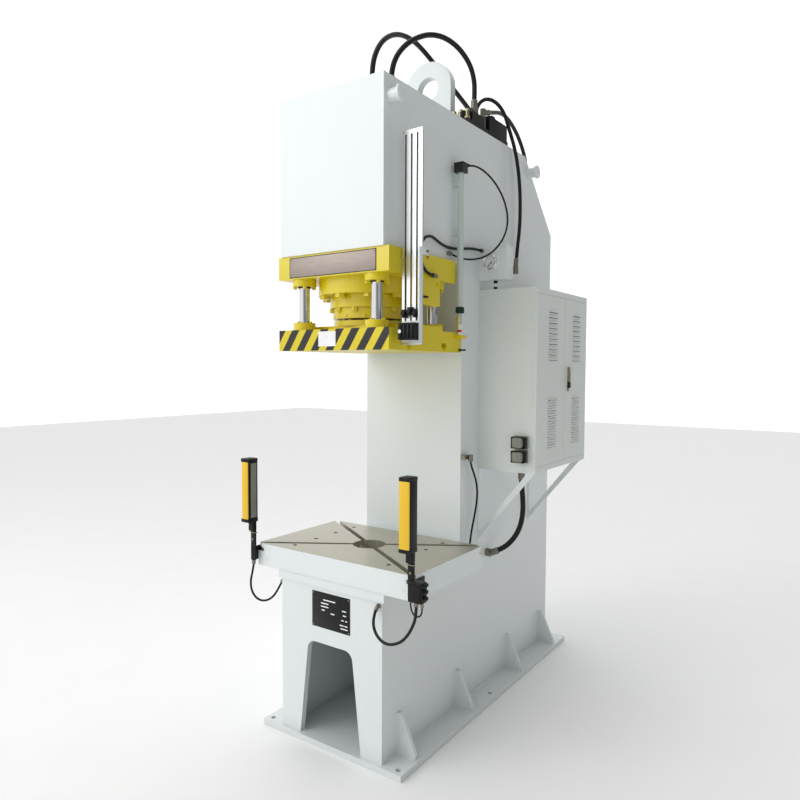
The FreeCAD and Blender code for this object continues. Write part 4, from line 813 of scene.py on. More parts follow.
# ---------------------------------------------------------------- welded body
class PRESS_OT_body(bpy.types.Operator):
    """Enamel the welded body and lay its weld beads, plates and cover screws"""
    bl_idname = "press.body"
    bl_label = "Welded body"

    def execute(self, context):
        coat("white", "base_plate", "side_plate_left", "side_plate_right", "front_plates",
             "table_support_plate", "head_floor_plate", "folded_rear_plate", "rear_cover", "gusset_ribs",
             "lifting_lug", "lifting_spools", "cabinet_bracket", "switch_holder", "oil_tank")
        self.beads(context.scene.press_details)
        self.rating_plate()
        self.cover_screws()
        self.spool_faces()
        return {"FINISHED"}

    def beads(self, details):
        low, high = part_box("gusset_ribs")
        wall_low, wall_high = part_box("side_plate_left")[0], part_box("side_plate_right")[1]
        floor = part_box("base_plate")[1].z
        rib_thick, rib_height = 0.016, high.z - floor
        bm = bmesh.new()
        for side, wall, reach in ((-1, wall_low.x, low.x), (1, wall_high.x, high.x)):
            add_path(bm, [Vector((wall, wall_low.y + 0.004, floor)),
                          Vector((wall, wall_high.y - 0.004, floor))])
            for depth in (0.100, 0.545, 1.035, 1.437):
                for face in (depth, depth + rib_thick):
                    foot, top = at(wall, face, 0), floor + rib_height
                    add_path(bm, [Vector((reach - side * 0.004, foot.y, floor)),
                                  Vector((wall, foot.y, floor)),
                                  Vector((wall, foot.y, top))])
        lug_low, lug_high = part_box("lifting_lug")
        add_path(bm, [Vector((x, y, lug_low.z)) for x, y in (
            (lug_low.x, lug_low.y), (lug_high.x, lug_low.y), (lug_high.x, lug_high.y),
            (lug_low.x, lug_high.y),
            (lug_low.x, lug_low.y))])
        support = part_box("table_support_plate")
        for x in (wall_low.x, wall_high.x):
            add_path(bm, [Vector((x, support[0].y + 0.012, support[0].z)),
                          Vector((x, support[1].y, support[0].z))])
        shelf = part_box("cabinet_bracket")
        for depth in (0.732, 0.768, 1.282, 1.318):
            add_path(bm, [at(wall_high.x + 0.001, depth, shelf[0].z + 0.006),
                          at(wall_high.x + 0.001, depth, shelf[1].z - 0.006)])
        make_piece("weld_beads", bm, "white", "frame", bead_tree(),
                   {"Radius": details.bead, "Ripple": details.bead_ripple})

    def rating_plate(self):
        """Blank black plate with plain empty fields and four rivets."""
        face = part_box("front_plates")[0].y
        low, high = Vector((-0.090, face - 0.0016, 0.484)), Vector((0.105, face, 0.627))
        bm = bmesh.new()
        add_box(bm, low, high, 0.0006)
        make_piece("rating_plate", bm, "panel", "frame")
        bm = bmesh.new()
        for x0, x1, z in ((0.30, 0.62, 0.80), (0.24, 0.44, 0.70), (0.24, 0.44, 0.61), (0.26, 0.34, 0.51),
                          (0.50, 0.60, 0.46), (0.80, 0.90, 0.62), (0.82, 0.90, 0.50), (0.78, 0.84, 0.36),
                          (0.88, 0.93, 0.36), (0.74, 0.84, 0.22), (0.86, 0.94, 0.22), (0.76, 0.94, 0.13)):
            width, height = high.x - low.x, high.z - low.z
            add_box(bm, Vector((low.x + x0 * width, low.y - 0.0002, low.z + z * height - 0.0022)),
                    Vector((low.x + x1 * width, low.y + 0.0004, low.z + z * height + 0.0022)), 0.0)
        make_piece("rating_plate_fields", bm, "sticker", "frame")
        bm = bmesh.new()
        add_turned(bm, [(0, 0.003), (0.0008, 0.003), (0.0018, 0.0018), (0.002, 0)],
                   Vector((low.x + 0.007, low.y, low.z + 0.007)), -Y_AXIS, 16)
        make_piece("rating_plate_rivets", bm, "zinc", "frame", grid_tree(),
                   {"Columns": 2, "Rows": 2, "Column step": (high.x - low.x - 0.014, 0, 0),
                    "Row step": (0, 0, high.z - low.z - 0.014)})

    def cover_screws(self):
        low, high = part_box("rear_cover")
        bm = bmesh.new()
        add_cap_screw(bm, Vector((low.x + 0.011, high.y, low.z + 0.011)), Y_AXIS, 0.007, 0.006)
        make_piece("cover_screws", bm, "zinc", "frame", grid_tree(),
                   {"Columns": 2, "Rows": 6, "Column step": (high.x - low.x - 0.022, 0, 0),
                    "Row step": (0, 0, (high.z - low.z - 0.022) / 5)})

    def spool_faces(self):
        """A dished cap with a threaded centre hole on each lifting spool."""
        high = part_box("lifting_spools")[1]
        bm = bmesh.new()
        for depth in (0.038, 1.222):
            face = at(high.x, depth, 2.5)
            add_turned(bm, [(-0.001, 0.028), (0.0004, 0.027), (-0.0004, 0.019), (0.0006, 0.018),
                            (0.0008, 0.008),
                            (-0.006, 0.007), (-0.006, 0)], face, X_AXIS, 40)
        make_piece("spool_caps", bm, "white", "frame")


class PRESS_OT_table(bpy.types.Operator):
    """Give the table its ground top and enamelled edges"""
    bl_idname = "press.table"
    bl_label = "Table"

    def execute(self, context):
        coat("table", "table_plate")
        low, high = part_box("table_plate")
        bm = bmesh.new()
        for x in (-0.243, 0.243):
            add_turned(bm, [(-0.0004, 0.0072), (0.0003, 0.0072), (0.0003, 0.0088), (-0.0004, 0.0088)],
                       at(x, 0.061, high.z), Z_AXIS, 24, closed=True)
        # painted shade: dark rings at the tapped holes' mouths stand in for the shade in the holes
        make_piece("tapped_hole_shade_rings", bm, "shadow", "frame", grid_tree(),
                   {"Columns": 1, "Rows": 4, "Column step": (0, 0, 0), "Row step": (0, 0.130, 0)})
        bm = bmesh.new()
        for x in (low.x + 0.05, high.x - 0.05):
            add_cap_screw(bm, Vector((x, low.y, low.z + 0.03)), -Y_AXIS, 0.006, 0.001)
        make_piece("table_side_plugs", bm, "white", "frame")
        return {"FINISHED"}


# ---------------------------------------------------------------- cylinder, guides and ram
class PRESS_OT_cylinder(bpy.types.Operator):
    """Enamel the guide plate, cylinder and bushes, and add their bolts, seals and nameplate"""
    bl_idname = "press.cylinder"
    bl_label = "Cylinder and guides"

    def execute(self, context):
        details = context.scene.press_details
        coat("yellow", "guide_plate", "cylinder_barrel", "gland_ring", "lubrication_block", "guide_bushes",
             "flange_bolts")
        self.gland_bolts(details)
        self.bush_bolts(details)
        self.nameplate()
        self.grease_points()
        return {"FINISHED"}

    def gland_bolts(self, details):
        low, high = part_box("gland_ring")
        centre = Vector(((low.x + high.x) / 2, (low.y + high.y) / 2, 1.756))
        count = details.gland_bolts
        for name, reach, radius, height, drop, turn in (("gland_bolts", 0.154, 0.013, 0.017, 0.0, 0.5),
                                                        ("nose_bolts", 0.148, 0.008, 0.008, 0.030, 0.0)):
            bm = bmesh.new()
            add_bolt(bm, Vector((reach, 0, 0)), -Z_AXIS, radius, height)
            make_piece(name, bm, "yellow", "frame", ring_tree(),
                       {"Count": count, "Step": 2 * math.pi / count,
                        "Centre": tuple(centre - Vector((0, 0, drop))),
                        "Tilt": (0, 0, turn * 2 * math.pi / count)})
        bm = bmesh.new()
        add_turned(bm, [(0, 0.0915), (0, 0.104), (-0.004, 0.104), (-0.006, 0.098), (-0.006, 0.0915)],
                   Vector((centre.x, centre.y, 1.712)), Z_AXIS, 64, closed=True)
        make_piece("rod_wiper", bm, "black", "frame")

    def bush_bolts(self, details):
        bm, seals = bmesh.new(), bmesh.new()
        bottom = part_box("guide_bushes")[0].z
        for x, y in ((0.185, 0.060), (0.200, 0.425)):
            for side in (-1, 1):
                post = at(side * x, y, bottom)
                for corner in range(4):
                    angle = math.radians(45 + 90 * corner)
                    spot = post + Vector((math.cos(angle), math.sin(angle), 0)) * 0.0385
                    add_bolt(bm, spot, -Z_AXIS, details.bush_bolt, 0.010)
                add_turned(seals, [(0, 0.0224), (0, 0.027), (-0.003, 0.027), (-0.005, 0.0245),
                                   (-0.005, 0.0224)],
                           post, Z_AXIS, 36, closed=True)
        make_piece("bush_bolts", bm, "yellow", "frame")
        make_piece("post_wipers", seals, "black", "frame")

    def nameplate(self):
        """Blank brushed plate, held by four rivets."""
        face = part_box("guide_plate")[0].y
        low, high = Vector((-0.216, face - 0.0016, 1.873)), Vector((0.220, face, 1.953))
        bm = bmesh.new()
        add_box(bm, low, high, 0.0006)
        make_piece("nameplate", bm, "nameplate", "frame")
        bm = bmesh.new()
        edge = 0.0025
        for a, b in ((low, Vector((high.x, high.y, low.z + edge))),
                     (Vector((low.x, low.y, high.z - edge)), high),
                     (low, Vector((low.x + edge, high.y, high.z))),
                     (Vector((high.x - edge, low.y, low.z)), high)):
            add_box(bm, a - Vector((0, 0.0002, 0)), b)
        make_piece("nameplate_border", bm, "valve", "frame")
        bm = bmesh.new()
        add_turned(bm, [(0, 0.003), (0.0008, 0.003), (0.0018, 0.0018), (0.002, 0)],
                   Vector((low.x + 0.008, low.y, low.z + 0.008)), -Y_AXIS, 16)
        make_piece("nameplate_rivets", bm, "zinc", "frame", grid_tree(),
                   {"Columns": 2, "Rows": 2, "Column step": (high.x - low.x - 0.016, 0, 0),
                    "Row step": (0, 0, high.z - low.z - 0.016)})

    def grease_points(self):
        low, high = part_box("lubrication_block")
        bm = bmesh.new()
        for depth in (0.012, 0.030, 0.048):
            nipple = Vector((high.x, low.y + depth, low.z + 0.030))
            add_bolt(bm, nipple, X_AXIS, 0.0055, 0.004)
            add_turned(bm, [(0.004, 0.003), (0.009, 0.003), (0.010, 0.0042), (0.013, 0.0038), (0.014, 0)],
                       nipple, X_AXIS, 16)
        make_piece("grease_nipples", bm, "valve", "frame")
        bm = bmesh.new()
        for depth in (0.022, 0.135):
            add_cap_screw(bm, Vector((high.x, low.y + depth, high.z - 0.020)), X_AXIS, 0.007, 0.004)
        make_piece("block_screws", bm, "yellow", "frame")


class PRESS_OT_ram(bpy.types.Operator):
    """Stripe the ram, polish its posts and rod, and add its collar screws and blank label"""
    bl_idname = "press.ram"
    bl_label = "Ram"

    def execute(self, context):
        coat("hazard", "ram_platen")
        coat("yellow", "ram_boss", "post_collars")
        coat("chrome", "piston_rod", "guide_posts", "probe_rod")
        low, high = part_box("ram_platen")
        bm = bmesh.new()
        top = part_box("post_collars")[1].z
        for x, y in ((0.185, 0.060), (0.200, 0.425)):
            for side in (-1, 1):
                for corner in range(4):
                    angle = math.radians(90 * corner)
                    spot = at(side * x, y, top) + Vector((math.cos(angle), math.sin(angle), 0)) * 0.0335
                    add_cap_screw(bm, spot, Z_AXIS, 0.0065, 0.006)
        make_piece("collar_screws", bm, "yellow", "ram")
        self.label(low)
        self.boss_bolts()
        self.drain_stub(high)
        return {"FINISHED"}

    def label(self, low):
        """A blank paper label."""
        bm = bmesh.new()
        add_box(bm, Vector((-0.064, low.y - 0.0004, 1.598)), Vector((0.024, low.y + 0.0002, 1.656)))
        make_piece("blank_label", bm, "sticker", "ram")

    def boss_bolts(self):
        low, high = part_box("ram_boss")
        bm = bmesh.new()
        add_cap_screw(bm, Vector((0.128, 0, 0)), Z_AXIS, 0.009, 0.005)
        make_piece("boss_screws", bm, "yellow", "ram", ring_tree(),
                   {"Count": 12, "Step": math.pi / 6, "Tilt": (0, 0, 0),
                    "Centre": ((low.x + high.x) / 2, (low.y + high.y) / 2, high.z)})

    def drain_stub(self, high):
        bm = bmesh.new()
        start = Vector((0.278, high.y - 0.012, 1.592))
        add_bolt(bm, start, X_AXIS, 0.007, 0.006)
        add_rod(bm, start, start + X_AXIS * 0.030, 0.0038, 16)
        make_piece("ram_drain_stub", bm, "green", "ram")


# ---------------------------------------------------------------- rail, switches, probe and gauge
class PRESS_OT_switches(bpy.types.Operator):
    """Finish the slotted rail, its dogs and the row of sensor modules"""
    bl_idname = "press.switches"
    bl_label = "Rail and switches"

    def execute(self, context):
        coat("slotted", "limit_rail")
        coat("black", "trip_dog_1", "trip_dog_2", "trip_dog_3", "switch_block")
        self.knobs()
        self.modules()
        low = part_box("limit_rail")[0]
        bm = bmesh.new()
        add_cap_screw(bm, Vector((0.2865, low.y + 0.036, low.z + 0.014)), X_AXIS, 0.006, 0.005)
        make_piece("rail_foot_screws", bm, "zinc", "ram", grid_tree(),
                   {"Columns": 1, "Rows": 2, "Column step": (0, 0, 0), "Row step": (0, 0, 0.032)})
        return {"FINISHED"}

    def knobs(self):
        """Fluted clamping knobs over the plain CAD ones."""
        for index in (1, 2, 3):
            low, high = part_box("trip_dog_%d" % index)
            centre = Vector(((low.x + high.x) / 2, low.y + 0.0005, (low.z + high.z) / 2))
            bm = bmesh.new()
            add_box(bm, Vector((-0.0011, 0.0072, 0.0)), Vector((0.0011, 0.0092, 0.0075)), 0.0004, 1)
            make_piece("dog_%d_knob_flutes" % index, bm, "black", "dog_%d" % index, ring_tree(),
                       {"Count": 14, "Step": 2 * math.pi / 14, "Tilt": (-math.pi / 2, 0, 0),
                        "Centre": tuple(centre)})

    def modules(self):
        """Four bevelled sensor modules with metal side plates; the first carries a white disc."""
        low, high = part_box("switch_block")
        pitch = (high.x - low.x) / 4
        bm, plates, discs = bmesh.new(), bmesh.new(), bmesh.new()
        for index in range(4):
            x = low.x + index * pitch
            add_box(bm, Vector((x + 0.0035, low.y - 0.005, low.z + 0.006)),
                    Vector((x + pitch - 0.0035, low.y + 0.004, high.z - 0.006)), 0.0022)
            add_box(plates, Vector((x + 0.0004, low.y - 0.0035, low.z + 0.003)),
                    Vector((x + 0.0018, low.y + 0.006, high.z - 0.003)), 0.0003, 1)
        middle = Vector((low.x + pitch / 2, low.y - 0.005, (low.z + high.z) / 2))
        add_turned(discs, [(0, 0.0070), (0.0015, 0.0070), (0.0025, 0.0060), (0.0028, 0)], middle, -Y_AXIS, 32)
        make_piece("switch_modules", bm, "black", "frame")
        make_piece("switch_side_plates", plates, "green", "frame")
        make_piece("switch_lamps", discs, "pale", "frame")
        bm = bmesh.new()
        hanger_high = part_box("switch_holder")[1]
        add_cap_screw(bm, Vector((hanger_high.x, hanger_high.y - 0.008, hanger_high.z - 0.012)), X_AXIS,
                      0.0055, 0.005)
        make_piece("holder_screws", bm, "zinc", "frame", grid_tree(),
                   {"Columns": 1, "Rows": 2, "Column step": (0, 0, 0), "Row step": (0, 0, -0.022)})


class PRESS_OT_probe(bpy.types.Operator):
    """Finish the position probe, with its tail clamp, cable boot and target sleeve"""
    bl_idname = "press.probe"
    bl_label = "Position probe"

    def execute(self, context):
        coat("probe", "probe_body")
        low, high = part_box("probe_body")
        rod_low, rod_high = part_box("probe_rod")
        centre = (rod_low + rod_high) / 2
        foot = Vector((centre.x, centre.y, low.z))
        bm = bmesh.new()
        add_turned(bm, [(-0.013, 0.0065), (-0.013, 0.016), (-0.011, 0.0185), (0.010, 0.0185), (0.013, 0.016),
                        (0.013, 0.0136), (0.0, 0.0136), (0.0, 0.0065)], foot, Z_AXIS, 32, closed=True)
        make_piece("probe_tail_clamp", bm, "green", "frame")
        bm = bmesh.new()
        route = HOSES["probe_cable"][2]
        start, following = at(*route[0]), at(*route[1])
        add_rod(bm, start - Y_AXIS * 0.004, start + (following - start).normalized() * 0.034, 0.0105, 24,
                0.0052)
        add_box(bm, Vector((centre.x - 0.0225, centre.y - 0.0225, high.z - 0.006)),
                Vector((centre.x + 0.0225, centre.y + 0.0225, high.z - 0.0005)), 0.002)
        make_piece("probe_cable_boot", bm, "black", "frame")
        bm = bmesh.new()
        base = Vector((centre.x, centre.y, rod_low.z))
        add_turned(bm, [(0, 0.0044), (0, 0.0075), (0.001, 0.008), (0.044, 0.008), (0.045, 0.0075),
                        (0.045, 0.0044)],
                   base, Z_AXIS, 24, closed=True)
        make_piece("probe_target_sleeve", bm, "pale", "ram")
        bm = bmesh.new()
        add_turned(bm, [(0.012, 0.0078), (0.012, 0.0086), (0.022, 0.0086), (0.022, 0.0078)], base, Z_AXIS, 24,
                   closed=True)
        make_piece("probe_sleeve_band", bm, "red", "ram")
        ram_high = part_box("ram_platen")[1]
        bm = bmesh.new()
        add_box(bm, Vector((0.270, ram_high.y - 0.026, ram_high.z - 0.030)),
                Vector((0.2785, ram_high.y - 0.001, 1.735)), 0.0015)
        make_piece("ram_probe_tab", bm, "yellow", "ram")
        return {"FINISHED"}


class PRESS_OT_gauge(bpy.types.Operator):
    """Dress the gauge with its dial, marks, numbers and bezel"""
    bl_idname = "press.gauge"
    bl_label = "Pressure gauge"

    def execute(self, context):
        coat("white", "gauge_box")
        coat("black", "gauge_needle")
        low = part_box("gauge_box")[0]
        needle_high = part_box("gauge_needle")[1]
        centre = Vector((0.336, low.y, 1.978))
        back = needle_high.y + 0.004
        bm = bmesh.new()
        add_turned(bm, [(0, 0.0285), (0.001, 0.0285), (0.001, 0.002), (0, 0.002)],
                   Vector((centre.x, back, centre.z)),
                   -Y_AXIS, 48, closed=True)
        make_piece("gauge_dial", bm, "sticker", "frame")
        bm = bmesh.new()
        add_box(bm, Vector((-0.0005, 0.0215, -0.0002)), Vector((0.0005, 0.0262, 0.0002)))
        make_piece("gauge_marks", bm, "panel", "frame", ring_tree(),
                   {"Count": 11, "Step": math.radians(-27), "Tilt": (math.pi / 2, math.radians(-45), 0),
                    "Centre": (centre.x, back - 0.0013, centre.z)})
        self.numbers(centre, back - 0.0012)
        bm = bmesh.new()
        add_turned(bm, [(-0.006, 0.0285), (-0.006, 0.0325), (0.001, 0.0335), (0.003, 0.0325), (0.004, 0.030),
                        (0.002, 0.028), (-0.002, 0.0280)], centre, -Y_AXIS, 56, closed=True)
        make_piece("gauge_bezel", bm, "chrome", "frame")
        self.box_screws()
        self.conduit_below()
        return {"FINISHED"}

    def numbers(self, centre, face):
        """Plain scale numbers from 0 to 25."""
        for index, label in enumerate(("0", "5", "10", "15", "20", "25")):
            angle = math.radians(225 - 54 * index)
            text = bpy.data.curves.new("dial_number", "FONT")
            text.body, text.size, text.align_x, text.align_y = label, 0.0062, "CENTER", "CENTER"
            text.extrude = 0.0001
            holder = bpy.data.objects.new("dial_number", text)
            mesh = bpy.data.meshes.new_from_object(holder)
            bpy.data.objects.remove(holder)
            spot = Vector((centre.x + 0.0165 * math.cos(angle), face, centre.z + 0.0165 * math.sin(angle)))
            mesh.transform(Matrix.Translation(spot) @ Matrix.Rotation(math.pi / 2, 4, "X"))
            bm = bmesh.new()
            bm.from_mesh(mesh)
            bpy.data.meshes.remove(mesh)
            make_piece("dial_number_" + label, bm, "panel", "frame")

    def box_screws(self):
        low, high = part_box("gauge_box")
        bm = bmesh.new()
        add_cap_screw(bm, Vector((low.x + 0.012, at(0, 0.700, 0).y, low.z + 0.012)), -Y_AXIS, 0.0045, 0.003)
        make_piece("gauge_box_screws", bm, "cabinet", "frame", grid_tree(),
                   {"Columns": 2, "Rows": 2, "Column step": (high.x - low.x - 0.024, 0, 0),
                    "Row step": (0, 0, high.z - low.z - 0.024)})

    def conduit_below(self):
        """Short white pipe with black gland nuts between the gauge box and the cabinet."""
        top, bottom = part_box("gauge_box")[0].z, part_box("cabinet_shell")[1].z
        spot = at(0.330, 0.745, 0)
        bm, pipe = bmesh.new(), bmesh.new()
        add_bolt(bm, Vector((spot.x, spot.y, top)), -Z_AXIS, 0.010, 0.012)
        add_bolt(bm, Vector((spot.x, spot.y, bottom)), Z_AXIS, 0.010, 0.012)
        add_rod(pipe, Vector((spot.x, spot.y, bottom)), Vector((spot.x, spot.y, top)), 0.0065, 20)
        make_piece("gauge_gland_nuts", bm, "black", "frame")
        make_piece("gauge_wire_pipe", pipe, "pale", "frame")


# ---------------------------------------------------------------- electrical cabinet
class PRESS_OT_cabinet(bpy.types.Operator):
    """Powder-coat the cabinet and add its louvres, hinges, seals, connectors and inside parts"""
    bl_idname = "press.cabinet"
    bl_label = "Electrical cabinet"

    def execute(self, context):
        details = context.scene.press_details
        coat("cabinet", "cabinet_shell", "cabinet_door_front", "cabinet_door_rear")
        coat("pale", "cabinet_gear")
        coat("zinc", "door_handle")
        self.louvres(details, "door_front", 0.901)
        self.louvres(details, "door_rear", 1.189)
        self.door_seals()
        self.handle_grip()
        self.connectors()
        self.hinges()
        self.inside()
        return {"FINISHED"}

    def louvres(self, details, body, depth):
        """Pressed hoods that open downwards, each over a dark strip of painted shade."""
        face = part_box("cabinet_door_front")[1].x
        half, rows = details.louvre_length / 2, details.louvre_rows
        for field, top in (("upper", 1.771), ("lower", 1.379)):
            start = at(face, depth, top)
            bm = bmesh.new()
            rings = []
            for step in range(13):
                along = -1 + 2 * step / 12
                swell = math.sqrt(max(0.0, 1 - abs(along) ** 5)) * 0.98 + 0.02
                ring = [bm.verts.new(start + Vector((-0.0008, along * half, 0.006)))]
                for i in range(6):
                    angle = math.pi / 2 * i / 5
                    ring.append(bm.verts.new(start + Vector((0.0065 * swell * math.sin(angle) + 0.0002,
                                                             along * half,
                                                             0.006 - 0.011 * (1 - math.cos(angle))))))
                ring.append(bm.verts.new(start + Vector((-0.0008, along * half, -0.005))))
                rings.append(ring)
            for first, second in zip(rings, rings[1:]):
                for i in range(len(first)):
                    j = (i + 1) % len(first)
                    bm.faces.new((first[i], first[j], second[j], second[i]))
            bm.faces.new(rings[0])
            bm.faces.new(rings[-1])
            steps = {"Columns": 1, "Rows": rows, "Column step": (0, 0, 0),
                     "Row step": (0, 0, -details.louvre_pitch)}
            make_piece("%s_louvres_%s" % (body, field), bm, "cabinet", body, grid_tree(), steps)
            # painted shade: a dark strip under each hood stands in for the shade in its opening
            bm = bmesh.new()
            add_box(bm, start + Vector((-0.0005, -half * 0.93, -0.0066)),
                    start + Vector((0.0050, half * 0.93, -0.0048)))
            make_piece("%s_slots_%s" % (body, field), bm, "shadow", body, grid_tree(), steps)

    def door_seals(self):
        """Black foam gasket inside each leaf."""
        for node, body in (("cabinet_door_front", "door_front"), ("cabinet_door_rear", "door_rear")):
            low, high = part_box(node)
            bm = bmesh.new()
            inner_low = Vector((low.x + 0.0105, low.y + 0.0035, low.z + 0.0035))
            inner_high = Vector((low.x + 0.0155, high.y - 0.0035, high.z - 0.0035))
            width = 0.012
            for a, b in ((inner_low, Vector((inner_high.x, inner_low.y + width, inner_high.z))),
                         (Vector((inner_low.x, inner_high.y - width, inner_low.z)), inner_high),
                         (Vector((inner_low.x, inner_low.y + width, inner_low.z)),
                          Vector((inner_high.x, inner_high.y - width, inner_low.z + width))),
                         (Vector((inner_low.x, inner_low.y + width, inner_high.z - width)),
                          Vector((inner_high.x, inner_high.y - width, inner_high.z)))):
                add_box(bm, a, b, 0.001, 1)
            make_piece(body + "_seal", bm, "rubber", body)

    def handle_grip(self):
        low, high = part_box("door_handle")
        bm = bmesh.new()
        add_box(bm, Vector((low.x + 0.001, low.y - 0.0015, low.z - 0.004)),
                Vector((high.x + 0.0002, high.y + 0.0015, low.z + 0.026)), 0.003)
        make_piece("handle_grip", bm, "black", "door_handle")
        bm = bmesh.new()
        add_turned(bm, [(0, 0.009), (0.003, 0.009), (0.0042, 0.0075), (0.0042, 0.002), (0.001, 0.002),
                        (0.001, 0)],
                   Vector((low.x - 0.0003, (low.y + high.y) / 2, low.z - 0.0105)), X_AXIS, 28)
        make_piece("lock_cylinder", bm, "zinc", "door_rear")

    def connectors(self):
        """Heavy connectors: die-cast hoods on flanged bases, each with a U-shaped locking lever."""
        low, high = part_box("plug_hoods")
        wall = high.y
        hoods, levers, seals = bmesh.new(), bmesh.new(), bmesh.new()
        for base in (1.104, 1.166):
            top = base + 0.056
            add_box(hoods, Vector((low.x, wall - 0.010, base)), Vector((high.x, wall, top)), 0.003)
            add_box(hoods, Vector((low.x + 0.006, wall - 0.050, base + 0.006)),
                    Vector((high.x - 0.012, wall - 0.004, top - 0.006)), 0.008, 3)
            add_rod(hoods, Vector((low.x + 0.026, wall - 0.030, base + 0.028)),
                    Vector((low.x + 0.026, wall - 0.052, base + 0.028)), 0.012, 24)
            add_box(seals, Vector((low.x + 0.004, wall - 0.026, base + 0.004)),
                    Vector((high.x - 0.010, wall - 0.022, top - 0.004)), 0.002, 1)
            for z in (base + 0.002, top - 0.009):
                add_box(levers, Vector((low.x + 0.002, wall - 0.040, z)),
                        Vector((high.x - 0.004, wall - 0.026, z + 0.007)),
                        0.0025)
            add_box(levers, Vector((low.x - 0.0002, wall - 0.044, base + 0.002)),
                    Vector((low.x + 0.009, wall - 0.024, top - 0.002)), 0.003)
            add_box(levers, Vector((high.x - 0.009, wall - 0.034, base + 0.004)),
                    Vector((high.x - 0.002, wall - 0.012, top - 0.004)), 0.002)
        make_piece("connector_hoods", hoods, "grey", "frame", replaced=("plug_hoods",))
        make_piece("connector_levers", levers, "black", "frame")
        make_piece("connector_seals", seals, "rubber", "frame")

    def hinges(self):
        """Pin hinges on the outer edges of both leaves."""
        low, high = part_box("cabinet_shell")
        for body, y in (("door_front", low.y), ("door_rear", high.y)):
            side = -1 if body == "door_front" else 1
            bm = bmesh.new()
            for z in (low.z + 0.13, high.z - 0.13):
                add_rod(bm, Vector((0.52125, y + side * 0.0005, z - 0.03)),
                        Vector((0.52125, y + side * 0.0005, z + 0.03)),
                        0.0045, 20)
            make_piece(body + "_hinge_pins", bm, "cabinet", body)

    def inside(self):
        """Wiring ducts, contactor terminals, drive vents and terminal blocks on the mounting panel."""
        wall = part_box("cabinet_gear")[0].x + 0.003
        corner = at(0, 0.727, 1.062)
        ducts, marks, rails = bmesh.new(), bmesh.new(), bmesh.new()
        for z in (0.085, 0.265, 0.475, 0.735):
            add_box(ducts, Vector((wall, corner.y + 0.045, corner.z + z)),
                    Vector((wall + 0.045, corner.y + 0.555, corner.z + z + 0.032)), 0.001, 1)
        make_piece("wiring_ducts", ducts, "grey", "frame")
        bm = bmesh.new()
        # painted shade: dark strips stand in for the shade inside the wiring ducts' slots
        add_box(bm, Vector((wall + 0.0445, corner.y + 0.055, corner.z + 0.088)),
                Vector((wall + 0.0456, corner.y + 0.059, corner.z + 0.114)))
        make_piece("duct_slot_shade", bm, "shadow", "frame", grid_tree(),
                   {"Columns": 40, "Rows": 1, "Column step": (0, 0.0125, 0), "Row step": (0, 0, 0.18)})
        width, height, depth = 0.060, 0.090, 0.080
        for y in (0.070, 0.150, 0.230):
            spot = Vector((wall + depth, corner.y + y, corner.z + 0.340))
            add_box(marks, spot + Vector((-0.001, 0.010, 0.028)),
                    spot + Vector((0.006, width - 0.010, height - 0.028)), 0.002)
            for i in range(3):
                for edge in (0.012, height - 0.012):
                    add_cap_screw(rails, spot + Vector((0, 0.013 + i * 0.017, edge)), X_AXIS, 0.0045, 0.0015)
        drive = Vector((wall + 0.09, corner.y + 0.070, corner.z + 0.560))
        add_box(marks, drive + Vector((-0.001, 0.030, 0.085)), drive + Vector((0.004, 0.100, 0.130)), 0.003)
        power = Vector((wall + 0.07, corner.y + 0.230, corner.z + 0.580))
        for i in range(9):
            add_box(marks, power + Vector((-0.001, 0.025 + i * 0.025, 0.015)),
                    power + Vector((0.0006, 0.032 + i * 0.025, 0.095)))
        make_piece("contactor_faces", marks, "black", "frame")
        make_piece("contactor_screws", rails, "zinc", "frame")
        bm = bmesh.new()
        add_box(bm, Vector((wall + 0.045, corner.y + 0.074, corner.z + 0.154)),
                Vector((wall + 0.0475, corner.y + 0.0805, corner.z + 0.206)), 0.0006, 1)
        make_piece("terminal_blocks", bm, "grey", "frame", grid_tree(),
                   {"Columns": 52, "Rows": 1, "Column step": (0, 0.008, 0), "Row step": (0, 0, 0)})


